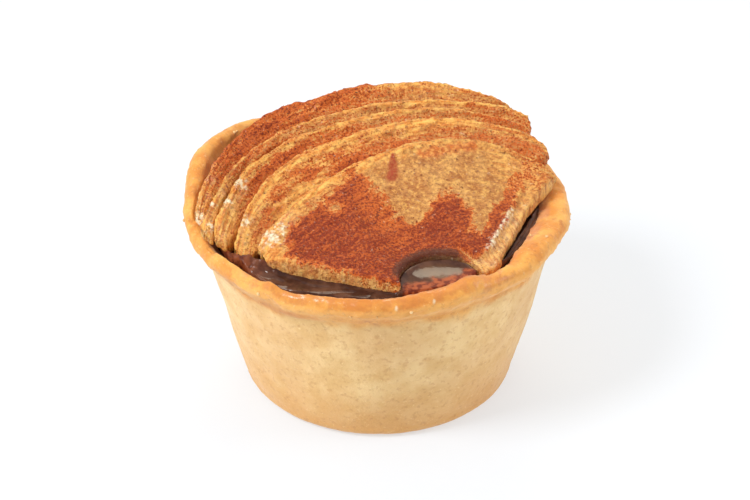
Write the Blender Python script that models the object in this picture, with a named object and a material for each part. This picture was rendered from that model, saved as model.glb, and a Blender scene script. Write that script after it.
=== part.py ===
"""An individual apple tart: a deep tapering shortcrust shell with an uneven rim, an apple
filling, and five half-apple slices fanned over it. Metres, +Z up, origin at the centre of
the flat underside."""

import math

import bmesh
import bpy
from mathutils import Vector, noise

GAP = 0.00035  # clearance between pieces that touch

# Shell
BASE_RADIUS = 0.0279  # where the wall starts, above the rounded foot
FOOT_ROUNDING = 0.0026
BASE_MIDDLE = 0.014  # radius of the underside's middle ring of faces
CREASE_RADIUS = 0.0351  # under the lip
CREASE_HEIGHT = 0.0333
WALL_BOW = 0.93  # below 1 the wall bows outwards
LIP_RADIUS = 0.0359  # centre line of the lip's bead
LIP_HEIGHT = 0.0374
LIP_HALF_WIDTH = 0.0019
LIP_HALF_HEIGHT = 0.0021
LIP_TURNS = (-50, -20, 10, 40, 75, 110, 140, 165)  # degrees round the bead's section
MOUTH_WALL = 0.0034  # wall thickness under the lip
FLOOR_WALL = 0.0042  # wall thickness at the floor
FLOOR_HEIGHT = 0.0042
FLOOR_ROUNDING = 0.003
WALL_ROWS = 8
HOLLOW_ROWS = (0.0352, 0.0320, 0.0250, 0.0170, 0.0100)  # heights, from the lip downwards
SHELL_STEPS = 84

# The shell stands highest and widest at one side, where it rose most in the oven.
RISE = 0.0050
RISE_ANGLE = 160.0
RISE_SPREAD = 35.0
RISE_START = 0.018  # the wall below this height keeps its plain form
BULGE = 0.0008
BULGE_ANGLE = 186.0
BULGE_SPREAD = 40.0
DENT = 0.0022  # the slices' left ends press the lip down here
DENT_ANGLE = -156.0
DENT_SPREAD = 11.0
THIN_LIP = 0.0013  # how far the lip's inner side stands back where the lip is thinnest
THIN_LIP_ANGLE = -122.0
THIN_LIP_SPREAD = 38.0
BROAD_LIP = 0.0010  # and how far it reaches in where the lip is broadest
BROAD_LIP_ANGLE = -12.0
BROAD_LIP_SPREAD = 46.0
LIP_WAVE = 0.0006
LIP_WAVE_SIZE = 0.009
WALL_WAVE = 0.00022
WALL_WAVE_SIZE = 0.011
LIP_BLEND = 0.003  # how far under the crease the lip's waves die out
PRESSED_INSIDE = 0.028  # the slices press on the rim only outside this radius

# Filling
FILLING_LEVEL = 0.0338  # where it meets the shell
FILLING_RISE = 0.0045  # how much higher it stands where the shell stands highest
DOME_HEIGHT = 0.0120
DOME_CENTRE = (0.001, 0.009)
DOME_SPREAD = 0.0235
NOTCH_LEVEL = 0.0372  # the filling stands higher in the front slice's core notch
NOTCH_SPREAD = 0.009
FILLING_LUMP = 0.0007
FILLING_LUMP_SIZE = 0.006
FILLING_ROWS = (0.0110, 0.0170, 0.0230, 0.0290)  # heights up its side
FILLING_LOWEST_ROW = 0.0080
FILLING_STEPS = 60
FILLING_RINGS = 11
FILLING_REACH = 0.0016  # its top clears the slices this far round each place
SIDE_CLEARANCE = 0.0008  # between the filling and the uneven hollow

# Fan of slices. In fan coordinates, s runs along the slices and w towards the back slice.
FAN_TURN = math.radians(25.0)
LEFT_LEG = (-0.0100, -0.0310)  # foot of the front slice's left cut side
LEFT_LEG_SLOPE = 0.90
RIGHT_LEG = (0.0089, -0.0335)  # foot of its right cut side
RIGHT_LEG_SLOPE = 0.95
LEG_BEND = (0.0272, -0.0161)  # past this the right cut side turns along the rim
LEG_BEND_SLOPE = 0.55
LEG_REACH = 0.0334  # the right leg's foot ends this far from the middle of the tart
CORE_CENTRE = (-0.0018, -0.0324)
CORE_RADIUS = 0.0082
CORNER_ROUNDING = 0.0009
LEAST_WIDTH = 0.0014  # narrowest a slice gets, at its ends
END_ROUNDING = 0.10  # share of each half of a slice over which its end rounds off

# Each slice's crest is w = top - drop * |(s - middle) / reach| ** bend, with its own drop,
# reach and bend to the left and to the right. Its height falls from the crown to both ends.
SLICES = {
    "slice_1": {
        "thickness": 0.0034,
        "middle": 0.0030,
        "top": 0.0022,
        "left": {"reach": 0.0325, "drop": 0.0108, "bend": 1.9},
        "right": {"reach": 0.0300, "drop": 0.0132, "bend": 3.5},
        "crown": 0.0489,
        "crown_at": 0.0110,
        "ends": (0.0420, 0.0436),
        "leg_shift": 0.0,
    },
    "slice_2": {
        "thickness": 0.0030,
        "middle": -0.0030,
        "top": 0.0112,
        "left": {"reach": 0.0300, "drop": 0.0165, "bend": 3.0},
        "right": {"reach": 0.0378, "drop": 0.0150, "bend": 3.2},
        "crown": 0.0492,
        "crown_at": 0.0100,
        "ends": (0.0406, 0.0466),
        "lean": 0.60,
        "depth": 0.0150,
        "leg_shift": 0.0022,
    },
    "slice_3": {
        "thickness": 0.0024,
        "middle": -0.0050,
        "top": 0.0166,
        "left": {"reach": 0.0306, "drop": 0.0182, "bend": 3.0},
        "right": {"reach": 0.0392, "drop": 0.0150, "bend": 2.8},
        "crown": 0.0494,
        "crown_at": 0.0140,
        "ends": (0.0420, 0.0472),
        "lean": 0.80,
        "depth": 0.0120,
        "leg_shift": 0.0052,
    },
    "slice_4": {
        "thickness": 0.0023,
        "middle": -0.0010,
        "top": 0.0206,
        "left": {"reach": 0.0363, "drop": 0.0198, "bend": 2.7},
        "right": {"reach": 0.0368, "drop": 0.0160, "bend": 2.6},
        "crown": 0.0490,
        "crown_at": 0.0090,
        "ends": (0.0428, 0.0484),
        "lean": 0.85,
        "depth": 0.0120,
        "leg_shift": 0.0064,
    },
    "slice_5": {
        "thickness": 0.0028,
        "middle": -0.0060,
        "top": 0.0284,
        "left": {"reach": 0.0305, "drop": 0.0225, "bend": 2.3},
        "right": {"reach": 0.0402, "drop": 0.0196, "bend": 3.5},
        "crown": 0.0497,
        "crown_at": 0.0200,
        "ends": (0.0432, 0.0486),
        "lean": 0.80,
        "depth": 0.0120,
        "leg_shift": 0.0097,
    },
}
FRONT_EDGE_HEIGHT = 0.0404  # top edge of the front slice's cut sides
FRONT_EDGE_RISES = (0.0008, 0.0032)  # how much higher that edge is at its left and right end
FRONT_CURVE = 1.7  # above 1 the front slice sags between its front edge and its crest
STEEPEST = 0.95  # steepest slope that a slice's thickness is measured square to
TUCK_SHARE = 3.0  # how far a slice reaches under the next, for the room that is there
FRONT_SLOPE = 0.35  # mean slope of the front slice
BEYOND_ENDS = 1.15  # the crest's rule is held past this share of its reach
END_FULLNESS = 0.85  # how far a slice's end closes up
UNDER_MARGIN = 0.0016  # how far round a slice the pieces below it keep clear
FRONT_STATIONS = 42
FRONT_SPANS = 8
SLICE_STATIONS = 30
SLICE_SPANS = 4


# ---------------------------------------------------------------- shared rules


def bell(angle_deg, centre, spread):
    """1 at the centre angle, falling off smoothly to both sides, in degrees."""
    away = (angle_deg - centre + 180.0) % 360.0 - 180.0
    return math.exp(-((away / spread) ** 2))


def smooth(value, low, high):
    """0 below low, 1 above high, with a smooth ramp between."""
    share = min(1.0, max(0.0, (value - low) / (high - low)))
    return share * share * (3.0 - 2.0 * share)


def waviness(x, y, z, size, seed):
    """Smooth unevenness between about -1 and 1, the same for the same place."""
    place = Vector((x / size + seed, y / size - seed, z / size))
    return noise.noise(place) * 1.6


def polar(radius, angle):
    return radius * math.cos(angle), radius * math.sin(angle)


# ---------------------------------------------------------------- shell


def wall_radius(z):
    """Outer radius of the plain tapering wall at a height."""
    share = max(0.0, (z - FOOT_ROUNDING) / (CREASE_HEIGHT - FOOT_ROUNDING))
    return BASE_RADIUS + (CREASE_RADIUS - BASE_RADIUS) * share**WALL_BOW


def inner_radius(z):
    """Radius of the hollow at a height, before the rim's unevenness."""
    share = (z - FLOOR_HEIGHT) / (CREASE_HEIGHT - FLOOR_HEIGHT)
    return wall_radius(z) - FLOOR_WALL - (MOUTH_WALL - FLOOR_WALL) * share


def shell_profile():
    """(radius, height) points from the middle of the underside, over the lip, to the floor."""
    points = [(0.0, 0.0), (BASE_MIDDLE, 0.0)]
    for step in range(4):
        turn = math.radians(90.0 * step / 4.0)
        radius = BASE_RADIUS - FOOT_ROUNDING * (1.0 - math.sin(turn))
        points.append((radius, FOOT_ROUNDING * (1.0 - math.cos(turn))))
    for row in range(WALL_ROWS + 1):
        z = FOOT_ROUNDING + (CREASE_HEIGHT - FOOT_ROUNDING) * row / WALL_ROWS
        points.append((wall_radius(z), z))
    for degrees in LIP_TURNS:
        turn = math.radians(degrees)
        radius = LIP_RADIUS + LIP_HALF_WIDTH * math.cos(turn)
        points.append((radius, LIP_HEIGHT + LIP_HALF_HEIGHT * math.sin(turn)))
    for z in HOLLOW_ROWS:
        points.append((inner_radius(z), z))
    for step in range(3):
        turn = math.radians(45.0 * step)
        radius = inner_radius(FLOOR_HEIGHT) - FLOOR_ROUNDING * (1.0 - math.cos(turn))
        points.append((radius, FLOOR_HEIGHT + FLOOR_ROUNDING * (1.0 - math.sin(turn))))
    points.append((0.0, FLOOR_HEIGHT))
    return points


def lip_wave(angle, seed):
    """The lip's unevenness round the rim, between about -1 and 1."""
    x, y = polar(LIP_RADIUS, angle)
    return waviness(x, y, 0.0, LIP_WAVE_SIZE, seed)


def lift(z, angle):
    """How far the shell stands above its plain height."""
    rise = smooth(z, RISE_START, LIP_HEIGHT) * bell(math.degrees(angle), RISE_ANGLE, RISE_SPREAD)
    lip = smooth(z, CREASE_HEIGHT - LIP_BLEND, LIP_HEIGHT)
    dent = DENT * bell(math.degrees(angle), DENT_ANGLE, DENT_SPREAD)
    return RISE * rise + lip * (LIP_WAVE * lip_wave(angle, 5.2) - dent)


def inner_side(radius, z):
    """0 on the outside of the shell's wall and lip, 1 on their inner side."""
    middle = LIP_RADIUS
    if z <= CREASE_HEIGHT:
        middle = 0.5 * (wall_radius(z) + inner_radius(z))
    return smooth(middle - radius, -0.0010, 0.0012)


def spread(radius, z, angle):
    """How far the shell stands outside its plain radius."""
    x, y = polar(radius, angle)
    bulge = smooth(z, RISE_START, LIP_HEIGHT) * bell(math.degrees(angle), BULGE_ANGLE, BULGE_SPREAD)
    lip = smooth(z, CREASE_HEIGHT - LIP_BLEND, LIP_HEIGHT)
    wall = smooth(z, 0.0, 2.0 * FOOT_ROUNDING) * waviness(x, y, z, WALL_WAVE_SIZE, 8.1)
    thin = THIN_LIP * bell(math.degrees(angle), THIN_LIP_ANGLE, THIN_LIP_SPREAD)
    broad = BROAD_LIP * bell(math.degrees(angle), BROAD_LIP_ANGLE, BROAD_LIP_SPREAD)
    width = lip * inner_side(radius, z) * (thin - broad)
    waves = 0.6 * LIP_WAVE * lip * lip_wave(angle, 3.7) + WALL_WAVE * wall
    return BULGE * bulge + width + waves


def shell_point(radius, z, angle):
    """A point of the shell's surface, with the rim's rise, bulge and waves."""
    x, y = polar(radius + spread(radius, z, angle), angle)
    height = z + lift(z, angle)
    if z > CREASE_HEIGHT - LIP_BLEND and radius > PRESSED_INSIDE:
        height = min(height, under_slices(x, y) - GAP)
    return Vector((x, y, height))


def hollow_radius(height, angle):
    """Radius of the finished hollow at a height: the lifted wall is narrower there."""
    z = height
    for _ in range(5):
        z = height - lift(z, angle)
    radius = inner_radius(z)
    return radius + spread(radius, z, angle)


# ---------------------------------------------------------------- slices


def to_fan(x, y):
    """Fan coordinates (s, w) of a place."""
    cos, sin = math.cos(FAN_TURN), math.sin(FAN_TURN)
    return x * cos + y * sin, y * cos - x * sin


def from_fan(s, w):
    cos, sin = math.cos(FAN_TURN), math.sin(FAN_TURN)
    return s * cos - w * sin, s * sin + w * cos


def crest_offset(slice_, s):
    """-1 to 1: how far s is from the crest's middle towards the left or right end."""
    side = slice_["left"] if s < slice_["middle"] else slice_["right"]
    return (s - slice_["middle"]) / side["reach"], side


def crest_w(slice_, s):
    """Where the crest lies across the fan, at s."""
    offset, side = crest_offset(slice_, s)
    return slice_["top"] - side["drop"] * min(abs(offset), BEYOND_ENDS) ** side["bend"]


def crest_height(slice_, s):
    """Height of the crest at s, from the crown down to each end."""
    left = slice_["middle"] - slice_["left"]["reach"]
    right = slice_["middle"] + slice_["right"]["reach"]
    end, at = (slice_["ends"][0], left) if s < slice_["crown_at"] else (slice_["ends"][1], right)
    share = (s - slice_["crown_at"]) / (at - slice_["crown_at"])
    return slice_["crown"] - (slice_["crown"] - end) * min(share, BEYOND_ENDS) ** 2


def leg_w(s):
    """The front slice's cut sides: a wide V, with the round core notch at its point."""
    if s < CORE_CENTRE[0]:
        w = LEFT_LEG[1] - LEFT_LEG_SLOPE * (s - LEFT_LEG[0])
    elif s < LEG_BEND[0]:
        w = RIGHT_LEG[1] + RIGHT_LEG_SLOPE * (s - RIGHT_LEG[0])
        w = max(w, -math.sqrt(LEG_REACH**2 - s**2))
    else:
        w = LEG_BEND[1] + LEG_BEND_SLOPE * (s - LEG_BEND[0])
    across = abs(s - CORE_CENTRE[0])
    if across < CORE_RADIUS:
        w = max(w, CORE_CENTRE[1] + math.sqrt(CORE_RADIUS**2 - across**2))
    return w


def slice_at(index):
    return list(SLICES.values())[index]


def front_w(index, s):
    """Where a slice's front edge lies across the fan, at s. All but the front slice reach
    under the one in front of them only as far as there is room below it."""
    slice_ = slice_at(index)
    leg, crest = leg_w(s) + slice_["leg_shift"], crest_w(slice_, s)
    if index == 0:
        return min(leg, crest - LEAST_WIDTH)
    offset = min(1.0, abs(crest_offset(slice_, s)[0]))
    widest = LEAST_WIDTH + slice_["depth"] * math.sqrt(1.0 - offset**2)
    before = crest_w(slice_at(index - 1), s)
    room = bottom_height(index - 1, s, before) - GAP - own_height(index, s, before + GAP)
    tuck = min(max(0.0, TUCK_SHARE * room - GAP), max(0.0, slice_["depth"] - (crest - before)))
    return min(max(leg, before + GAP - tuck, crest - widest), crest - LEAST_WIDTH)


def own_height(index, s, w):
    """Height of a slice's upper face before its neighbours press on it."""
    slice_ = slice_at(index)
    crest = crest_w(slice_, s)
    if index == 0:
        front = front_w(index, s)
        share = (w - front) / (crest - front)
        rise = FRONT_EDGE_RISES[0] if s < slice_["middle"] else FRONT_EDGE_RISES[1]
        low = FRONT_EDGE_HEIGHT + rise * crest_offset(slice_, s)[0] ** 2
        rise = max(0.0, crest_height(slice_, s) - low)
        if share > 1.0:
            return low + rise * (1.0 + FRONT_CURVE * (share - 1.0))
        return low + rise * max(0.0, share) ** FRONT_CURVE
    step = 0.0004
    steepness = (crest_w(slice_, s + step) - crest_w(slice_, s - step)) / (2.0 * step)
    away = (crest - w) / math.sqrt(1.0 + steepness**2)
    return crest_height(slice_, s) - slice_["lean"] * away


def top_height(index, s, w):
    """Height of a slice's upper face: each lies under the one in front of it."""
    height = own_height(index, s, w)
    if index > 0 and w < crest_w(slice_at(index - 1), s) + GAP:
        height = min(height, bottom_height(index - 1, s, w) - GAP)
    return height


def bottom_height(index, s, w):
    """Height of a slice's lower face."""
    slice_ = slice_at(index)
    if index == 0:
        slope = FRONT_SLOPE
    else:
        slope = min(STEEPEST, slice_["lean"])
    return top_height(index, s, w) - slice_["thickness"] * math.sqrt(1.0 + slope**2)


def slice_span(slice_):
    return slice_["middle"] - slice_["left"]["reach"], slice_["middle"] + slice_["right"]["reach"]


def under_slices(x, y):
    """Height of the lowest slice face over a place, or high above where no slice is."""
    s, w = to_fan(x, y)
    lowest = 1.0
    for index, slice_ in enumerate(SLICES.values()):
        left, right = slice_span(slice_)
        if not left - UNDER_MARGIN < s < right + UNDER_MARGIN:
            continue
        inside = min(max(s, left), right)
        front, crest = front_w(index, inside), crest_w(slice_, inside)
        if front - UNDER_MARGIN < w < crest + UNDER_MARGIN:
            within = min(max(w, front), crest)
            lowest = min(lowest, bottom_height(index, inside, within))
    return lowest


def section(length, thickness, spans):
    """A slab's cross-section: (distance from the front edge, depth below the upper face),
    round at its corners, from the front round over the top and back along the bottom."""
    rounding = min(CORNER_ROUNDING, thickness * 0.45, length * 0.3)
    inner = rounding * 0.3
    top = [(rounding + (length - 2.0 * rounding) * n / spans, 0.0) for n in range(spans + 1)]
    back = [(length - inner, inner), (length, rounding)]
    back += [(length, thickness - rounding), (length - inner, thickness - inner)]
    bottom = [(place, thickness) for place, _ in reversed(top)]
    front = [(inner, thickness - inner), (0.0, thickness - rounding)]
    front += [(0.0, rounding), (inner, inner)]
    return top + back + bottom + front


def slice_ring(index, s, spans):
    """One cross-section of a slice at s, as points."""
    slice_ = slice_at(index)
    offset = abs(crest_offset(slice_, s)[0])
    end = max(0.0, (offset - 1.0 + END_ROUNDING) / END_ROUNDING)
    fullness = math.sqrt(max(0.0, 1.0 - END_FULLNESS * end**2))
    front, crest = front_w(index, s), crest_w(slice_, s)
    ring = []
    for place, depth in section(crest - front, slice_["thickness"], spans):
        w = front + place
        top, bottom = top_height(index, s, w), bottom_height(index, s, w)
        share = 0.5 + (depth / slice_["thickness"] - 0.5) * fullness
        x, y = from_fan(s, w)
        ring.append(Vector((x, y, top + (bottom - top) * share)))
    return ring


# ---------------------------------------------------------------- filling


def filling_height(x, y):
    """Height of the filling's lumpy top, domed under the slices."""
    away = math.hypot(x - DOME_CENTRE[0], y - DOME_CENTRE[1])
    height = FILLING_LEVEL + DOME_HEIGHT * math.exp(-((away / DOME_SPREAD) ** 4))
    side = smooth(math.hypot(x, y), 0.0, inner_radius(FILLING_LEVEL))
    angle = math.degrees(math.atan2(y, x))
    height += FILLING_RISE * side * bell(angle, RISE_ANGLE, RISE_SPREAD)
    notch = from_fan(*CORE_CENTRE)
    near = math.exp(-((math.hypot(x - notch[0], y - notch[1]) / NOTCH_SPREAD) ** 2))
    height += max(0.0, NOTCH_LEVEL - FILLING_LEVEL) * near
    height += FILLING_LUMP * waviness(x, y, 0.0, FILLING_LUMP_SIZE, 1.3)
    reach = FILLING_REACH
    for dx, dy in ((0, 0), (reach, 0), (-reach, 0), (0, reach), (0, -reach)):
        height = min(height, under_slices(x + dx, y + dy) - GAP)
    return height


# ---------------------------------------------------------------- meshes


def make_material(name, colour, roughness):
    material = bpy.data.materials.new(name)
    material.use_nodes = True
    shader = material.node_tree.nodes["Principled BSDF"]
    shader.inputs["Base Color"].default_value = (*colour, 1.0)
    shader.inputs["Roughness"].default_value = roughness
    shader.inputs["Metallic"].default_value = 0.0
    return material


def add_object(name, mesh_data, material):
    mesh = bpy.data.meshes.new(name)
    mesh_data.to_mesh(mesh)
    mesh_data.free()
    mesh.shade_smooth()
    mesh.set_sharp_from_angle(angle=math.radians(55.0))
    mesh.materials.append(material)
    piece = bpy.data.objects.new(name, mesh)
    bpy.context.scene.collection.objects.link(piece)
    return piece


def skin_rings(mesh_data, rings, closed):
    """Faces between rings of as many points; an end ring of one point makes a fan."""
    for first, second in zip(rings, rings[1:]):
        count = max(len(first), len(second))
        for step in range(count if closed else count - 1):
            after = (step + 1) % count
            corners = [first[step % len(first)], first[after % len(first)]]
            corners += [second[after % len(second)], second[step % len(second)]]
            unique = list(dict.fromkeys(corners))
            mesh_data.faces.new(unique)


def finish(mesh_data):
    bmesh.ops.triangulate(mesh_data, faces=mesh_data.faces[:])
    bmesh.ops.recalc_face_normals(mesh_data, faces=mesh_data.faces[:])
    return mesh_data


def turned_rings(mesh_data, profile, steps, place):
    """A ring of vertices for each profile point, one vertex where it meets the axis."""
    rings = []
    for radius, z in profile:
        if radius == 0.0:
            rings.append([mesh_data.verts.new(Vector((0.0, 0.0, z)))])
            continue
        angles = [2.0 * math.pi * step / steps for step in range(steps)]
        rings.append([mesh_data.verts.new(place(radius, z, angle)) for angle in angles])
    return rings


def build_crust(material):
    mesh_data = bmesh.new()
    rings = turned_rings(mesh_data, shell_profile(), SHELL_STEPS, shell_point)
    skin_rings(mesh_data, rings, closed=True)
    return add_object("crust", finish(mesh_data), material)


def filling_profile():
    """(inset from the hollow's side, height) of the filling's side, from its floor upwards."""
    bottom = FLOOR_HEIGHT + GAP
    points = []
    for step in range(3):
        turn = math.radians(45.0 * (2 - step))
        inset = SIDE_CLEARANCE + FLOOR_ROUNDING * (1.0 - math.cos(turn))
        points.append((inset, bottom + FLOOR_ROUNDING * (1.0 - math.sin(turn))))
    return points + [(SIDE_CLEARANCE, z) for z in FILLING_ROWS]


def filling_ring(mesh_data, inset, z):
    ring = []
    for step in range(FILLING_STEPS):
        angle = 2.0 * math.pi * step / FILLING_STEPS
        height = z if z > FILLING_LOWEST_ROW else FLOOR_HEIGHT
        x, y = polar(hollow_radius(height, angle) - inset, angle)
        ring.append(mesh_data.verts.new(Vector((x, y, z))))
    return ring


def filling_top_ring(mesh_data, share):
    ring = []
    for step in range(FILLING_STEPS):
        angle = 2.0 * math.pi * step / FILLING_STEPS
        brim = hollow_radius(FILLING_LEVEL, angle) - SIDE_CLEARANCE
        x, y = polar(brim * share, angle)
        ring.append(mesh_data.verts.new(Vector((x, y, filling_height(x, y)))))
    return ring


def build_filling(material):
    mesh_data = bmesh.new()
    rings = [[mesh_data.verts.new(Vector((0.0, 0.0, FLOOR_HEIGHT + GAP)))]]
    rings += [filling_ring(mesh_data, inset, z) for inset, z in filling_profile()]
    for ring in range(FILLING_RINGS):
        rings.append(filling_top_ring(mesh_data, 1.0 - ring / FILLING_RINGS))
    rings.append([mesh_data.verts.new(Vector((0.0, 0.0, filling_height(0.0, 0.0))))])
    skin_rings(mesh_data, rings, closed=True)
    return add_object("filling", finish(mesh_data), material)


def stations(slice_, count):
    """Places along a slice, closer together towards its ends."""
    left, right = slice_span(slice_)
    for step in range(count + 1):
        yield left + (right - left) * (0.5 - 0.5 * math.cos(math.pi * step / count))


def build_slice(index, name, material):
    count = SLICE_STATIONS if index else FRONT_STATIONS
    spans = SLICE_SPANS if index else FRONT_SPANS
    mesh_data = bmesh.new()
    rings = []
    for s in stations(SLICES[name], count):
        rings.append([mesh_data.verts.new(point) for point in slice_ring(index, s, spans)])
    skin_rings(mesh_data, rings, closed=True)
    mesh_data.faces.new(rings[0])
    mesh_data.faces.new(rings[-1])
    return add_object(name, finish(mesh_data), material)


def main():
    for old in list(bpy.data.objects):
        bpy.data.objects.remove(old, do_unlink=True)
    build_crust(make_material("baked_shortcrust", (0.66, 0.42, 0.20), 0.75))
    build_filling(make_material("stewed_apple", (0.17, 0.06, 0.025), 0.35))
    for index, name in enumerate(SLICES):
        material = make_material("apple_" + name, (0.60, 0.27, 0.08), 0.3)
        build_slice(index, name, material)


main()
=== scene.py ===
"""The look of an individual apple tart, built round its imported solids: a turned shortcrust
shell with a browned rim, stewed apple in syrup, and five half-apple slices fanned over it,
dusted with cinnamon and glazed. Metres, +Z up, in the frame of the solids."""

import math
from functools import cached_property

import bmesh
import bpy
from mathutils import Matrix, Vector, noise


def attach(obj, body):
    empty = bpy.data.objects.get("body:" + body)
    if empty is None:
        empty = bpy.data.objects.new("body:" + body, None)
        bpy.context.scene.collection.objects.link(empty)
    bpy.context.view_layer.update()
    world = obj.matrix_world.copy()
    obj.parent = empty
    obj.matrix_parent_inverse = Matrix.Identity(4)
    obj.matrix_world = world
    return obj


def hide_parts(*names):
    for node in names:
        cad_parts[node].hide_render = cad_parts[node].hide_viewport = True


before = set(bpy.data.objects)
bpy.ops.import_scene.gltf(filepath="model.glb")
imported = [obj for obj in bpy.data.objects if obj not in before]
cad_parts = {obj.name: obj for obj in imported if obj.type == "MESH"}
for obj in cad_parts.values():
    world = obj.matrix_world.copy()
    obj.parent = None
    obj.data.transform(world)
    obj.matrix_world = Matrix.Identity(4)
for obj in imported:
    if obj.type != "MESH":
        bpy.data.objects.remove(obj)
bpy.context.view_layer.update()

# ---------------------------------------------------------------- sizes shared with the solids

GAP = 0.00035  # clearance between pieces that touch

# Shell
BASE_RADIUS = 0.0279  # where the wall starts, above the rounded foot
FOOT_ROUNDING = 0.0026
CREASE_RADIUS = 0.0351  # under the lip
CREASE_HEIGHT = 0.0333
WALL_BOW = 0.93  # below 1 the wall bows outwards
LIP_RADIUS = 0.0359  # centre line of the lip's bead
LIP_HEIGHT = 0.0374
LIP_HALF_WIDTH = 0.0019
LIP_HALF_HEIGHT = 0.0021
MOUTH_WALL = 0.0034  # wall thickness under the lip
FLOOR_WALL = 0.0042  # wall thickness at the floor
FLOOR_HEIGHT = 0.0042
FLOOR_ROUNDING = 0.003
HOLLOW_ROWS = (0.0352, 0.0320, 0.0250, 0.0170, 0.0100)  # heights, from the lip downwards

# The shell stands highest and widest at one side, where it rose most in the oven.
RISE = 0.0050
RISE_ANGLE = 160.0
RISE_SPREAD = 35.0
RISE_START = 0.018  # the wall below this height keeps its plain form
BULGE = 0.0008
BULGE_ANGLE = 186.0
BULGE_SPREAD = 40.0
DENT = 0.0022  # the slices' left ends press the lip down here
DENT_ANGLE = -156.0
DENT_SPREAD = 11.0
THIN_LIP = 0.0013  # how far the lip's inner side stands back where the lip is thinnest
THIN_LIP_ANGLE = -122.0
THIN_LIP_SPREAD = 38.0
BROAD_LIP = 0.0010  # and how far it reaches in where the lip is broadest
BROAD_LIP_ANGLE = -12.0
BROAD_LIP_SPREAD = 46.0
LIP_WAVE = 0.0006
LIP_WAVE_SIZE = 0.009
WALL_WAVE = 0.00022
WALL_WAVE_SIZE = 0.011
LIP_BLEND = 0.003  # how far under the crease the lip's waves die out
PRESSED_INSIDE = 0.028  # the slices press on the rim only outside this radius

# Filling
FILLING_LEVEL = 0.0338  # where it meets the shell
FILLING_RISE = 0.0045  # how much higher it stands where the shell stands highest
DOME_HEIGHT = 0.0120
DOME_CENTRE = (0.001, 0.009)
DOME_SPREAD = 0.0235
NOTCH_LEVEL = 0.0372  # the filling stands higher in the front slice's core notch
NOTCH_SPREAD = 0.009
FILLING_LUMP = 0.0007
FILLING_LUMP_SIZE = 0.006
FILLING_ROWS = (0.0110, 0.0170, 0.0230, 0.0290)  # heights up its side
FILLING_LOWEST_ROW = 0.0080
FILLING_REACH = 0.0016  # its top clears the slices this far round each place
SIDE_CLEARANCE = 0.0008  # between the filling and the uneven hollow

# Fan of slices. In fan coordinates, s runs along the slices and w towards the back slice.
FAN_TURN = math.radians(25.0)
LEFT_LEG = (-0.0100, -0.0310)  # foot of the front slice's left cut side
LEFT_LEG_SLOPE = 0.90
RIGHT_LEG = (0.0089, -0.0335)  # foot of its right cut side
RIGHT_LEG_SLOPE = 0.95
LEG_BEND = (0.0272, -0.0161)  # past this the right cut side turns along the rim
LEG_BEND_SLOPE = 0.55
LEG_REACH = 0.0334  # the right leg's foot ends this far from the middle of the tart
CORE_CENTRE = (-0.0018, -0.0324)
CORE_RADIUS = 0.0082
CORNER_ROUNDING = 0.0009
LEAST_WIDTH = 0.0014  # narrowest a slice gets, at its ends
END_ROUNDING = 0.10  # share of each half of a slice over which its end rounds off


def half_crest(reach, drop, bend):
    return {"reach": reach, "drop": drop, "bend": bend}


# Each slice's crest is w = top - drop * |(s - middle) / reach| ** bend, with its own reach,
# drop and bend to the left and to the right. Its height falls from the crown to both ends.
SLICES = {
    "slice_1": dict(
        thickness=0.0034, leg_shift=0.0,
        middle=0.0030, top=0.0022, crown=0.0489, crown_at=0.0110, ends=(0.0420, 0.0436),
        left=half_crest(0.0325, 0.0108, 1.9), right=half_crest(0.0300, 0.0132, 3.5),
    ),
    "slice_2": dict(
        thickness=0.0030, leg_shift=0.0022, lean=0.60, depth=0.0150,
        middle=-0.0030, top=0.0112, crown=0.0492, crown_at=0.0100, ends=(0.0406, 0.0466),
        left=half_crest(0.0300, 0.0165, 3.0), right=half_crest(0.0378, 0.0150, 3.2),
    ),
    "slice_3": dict(
        thickness=0.0024, leg_shift=0.0052, lean=0.80, depth=0.0120,
        middle=-0.0050, top=0.0166, crown=0.0494, crown_at=0.0140, ends=(0.0420, 0.0472),
        left=half_crest(0.0306, 0.0182, 3.0), right=half_crest(0.0392, 0.0150, 2.8),
    ),
    "slice_4": dict(
        thickness=0.0023, leg_shift=0.0064, lean=0.85, depth=0.0120,
        middle=-0.0010, top=0.0206, crown=0.0490, crown_at=0.0090, ends=(0.0428, 0.0484),
        left=half_crest(0.0363, 0.0198, 2.7), right=half_crest(0.0368, 0.0160, 2.6),
    ),
    "slice_5": dict(
        thickness=0.0028, leg_shift=0.0097, lean=0.80, depth=0.0120,
        middle=-0.0060, top=0.0284, crown=0.0497, crown_at=0.0200, ends=(0.0432, 0.0486),
        left=half_crest(0.0305, 0.0225, 2.3), right=half_crest(0.0402, 0.0196, 3.5),
    ),
}
FRONT_EDGE_HEIGHT = 0.0404  # top edge of the front slice's cut sides
FRONT_EDGE_RISES = (0.0008, 0.0032)  # how much higher that edge is at its left and right end
FRONT_CURVE = 1.7  # above 1 the front slice sags between its front edge and its crest
STEEPEST = 0.95  # steepest slope that a slice's thickness is measured square to
TUCK_SHARE = 3.0  # how far a slice reaches under the next, for the room that is there
FRONT_SLOPE = 0.35  # mean slope of the front slice
BEYOND_ENDS = 1.15  # the crest's rule is held past this share of its reach
END_FULLNESS = 0.85  # how far a slice's end closes up
UNDER_MARGIN = 0.0016  # how far round a slice the pieces below it keep clear


# ---------------------------------------------------------------- shared rules


def bell(angle_deg, centre, spread):
    """1 at the centre angle, falling off smoothly to both sides, in degrees."""
    away = (angle_deg - centre + 180.0) % 360.0 - 180.0
    return math.exp(-((away / spread) ** 2))


def smooth(value, low, high):
    """0 below low, 1 above high, with a smooth ramp between."""
    share = min(1.0, max(0.0, (value - low) / (high - low)))
    return share * share * (3.0 - 2.0 * share)


def waviness(x, y, z, size, seed):
    """Smooth unevenness between about -1 and 1, the same for the same place."""
    place = Vector((x / size + seed, y / size - seed, z / size))
    return noise.noise(place) * 1.6


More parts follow.
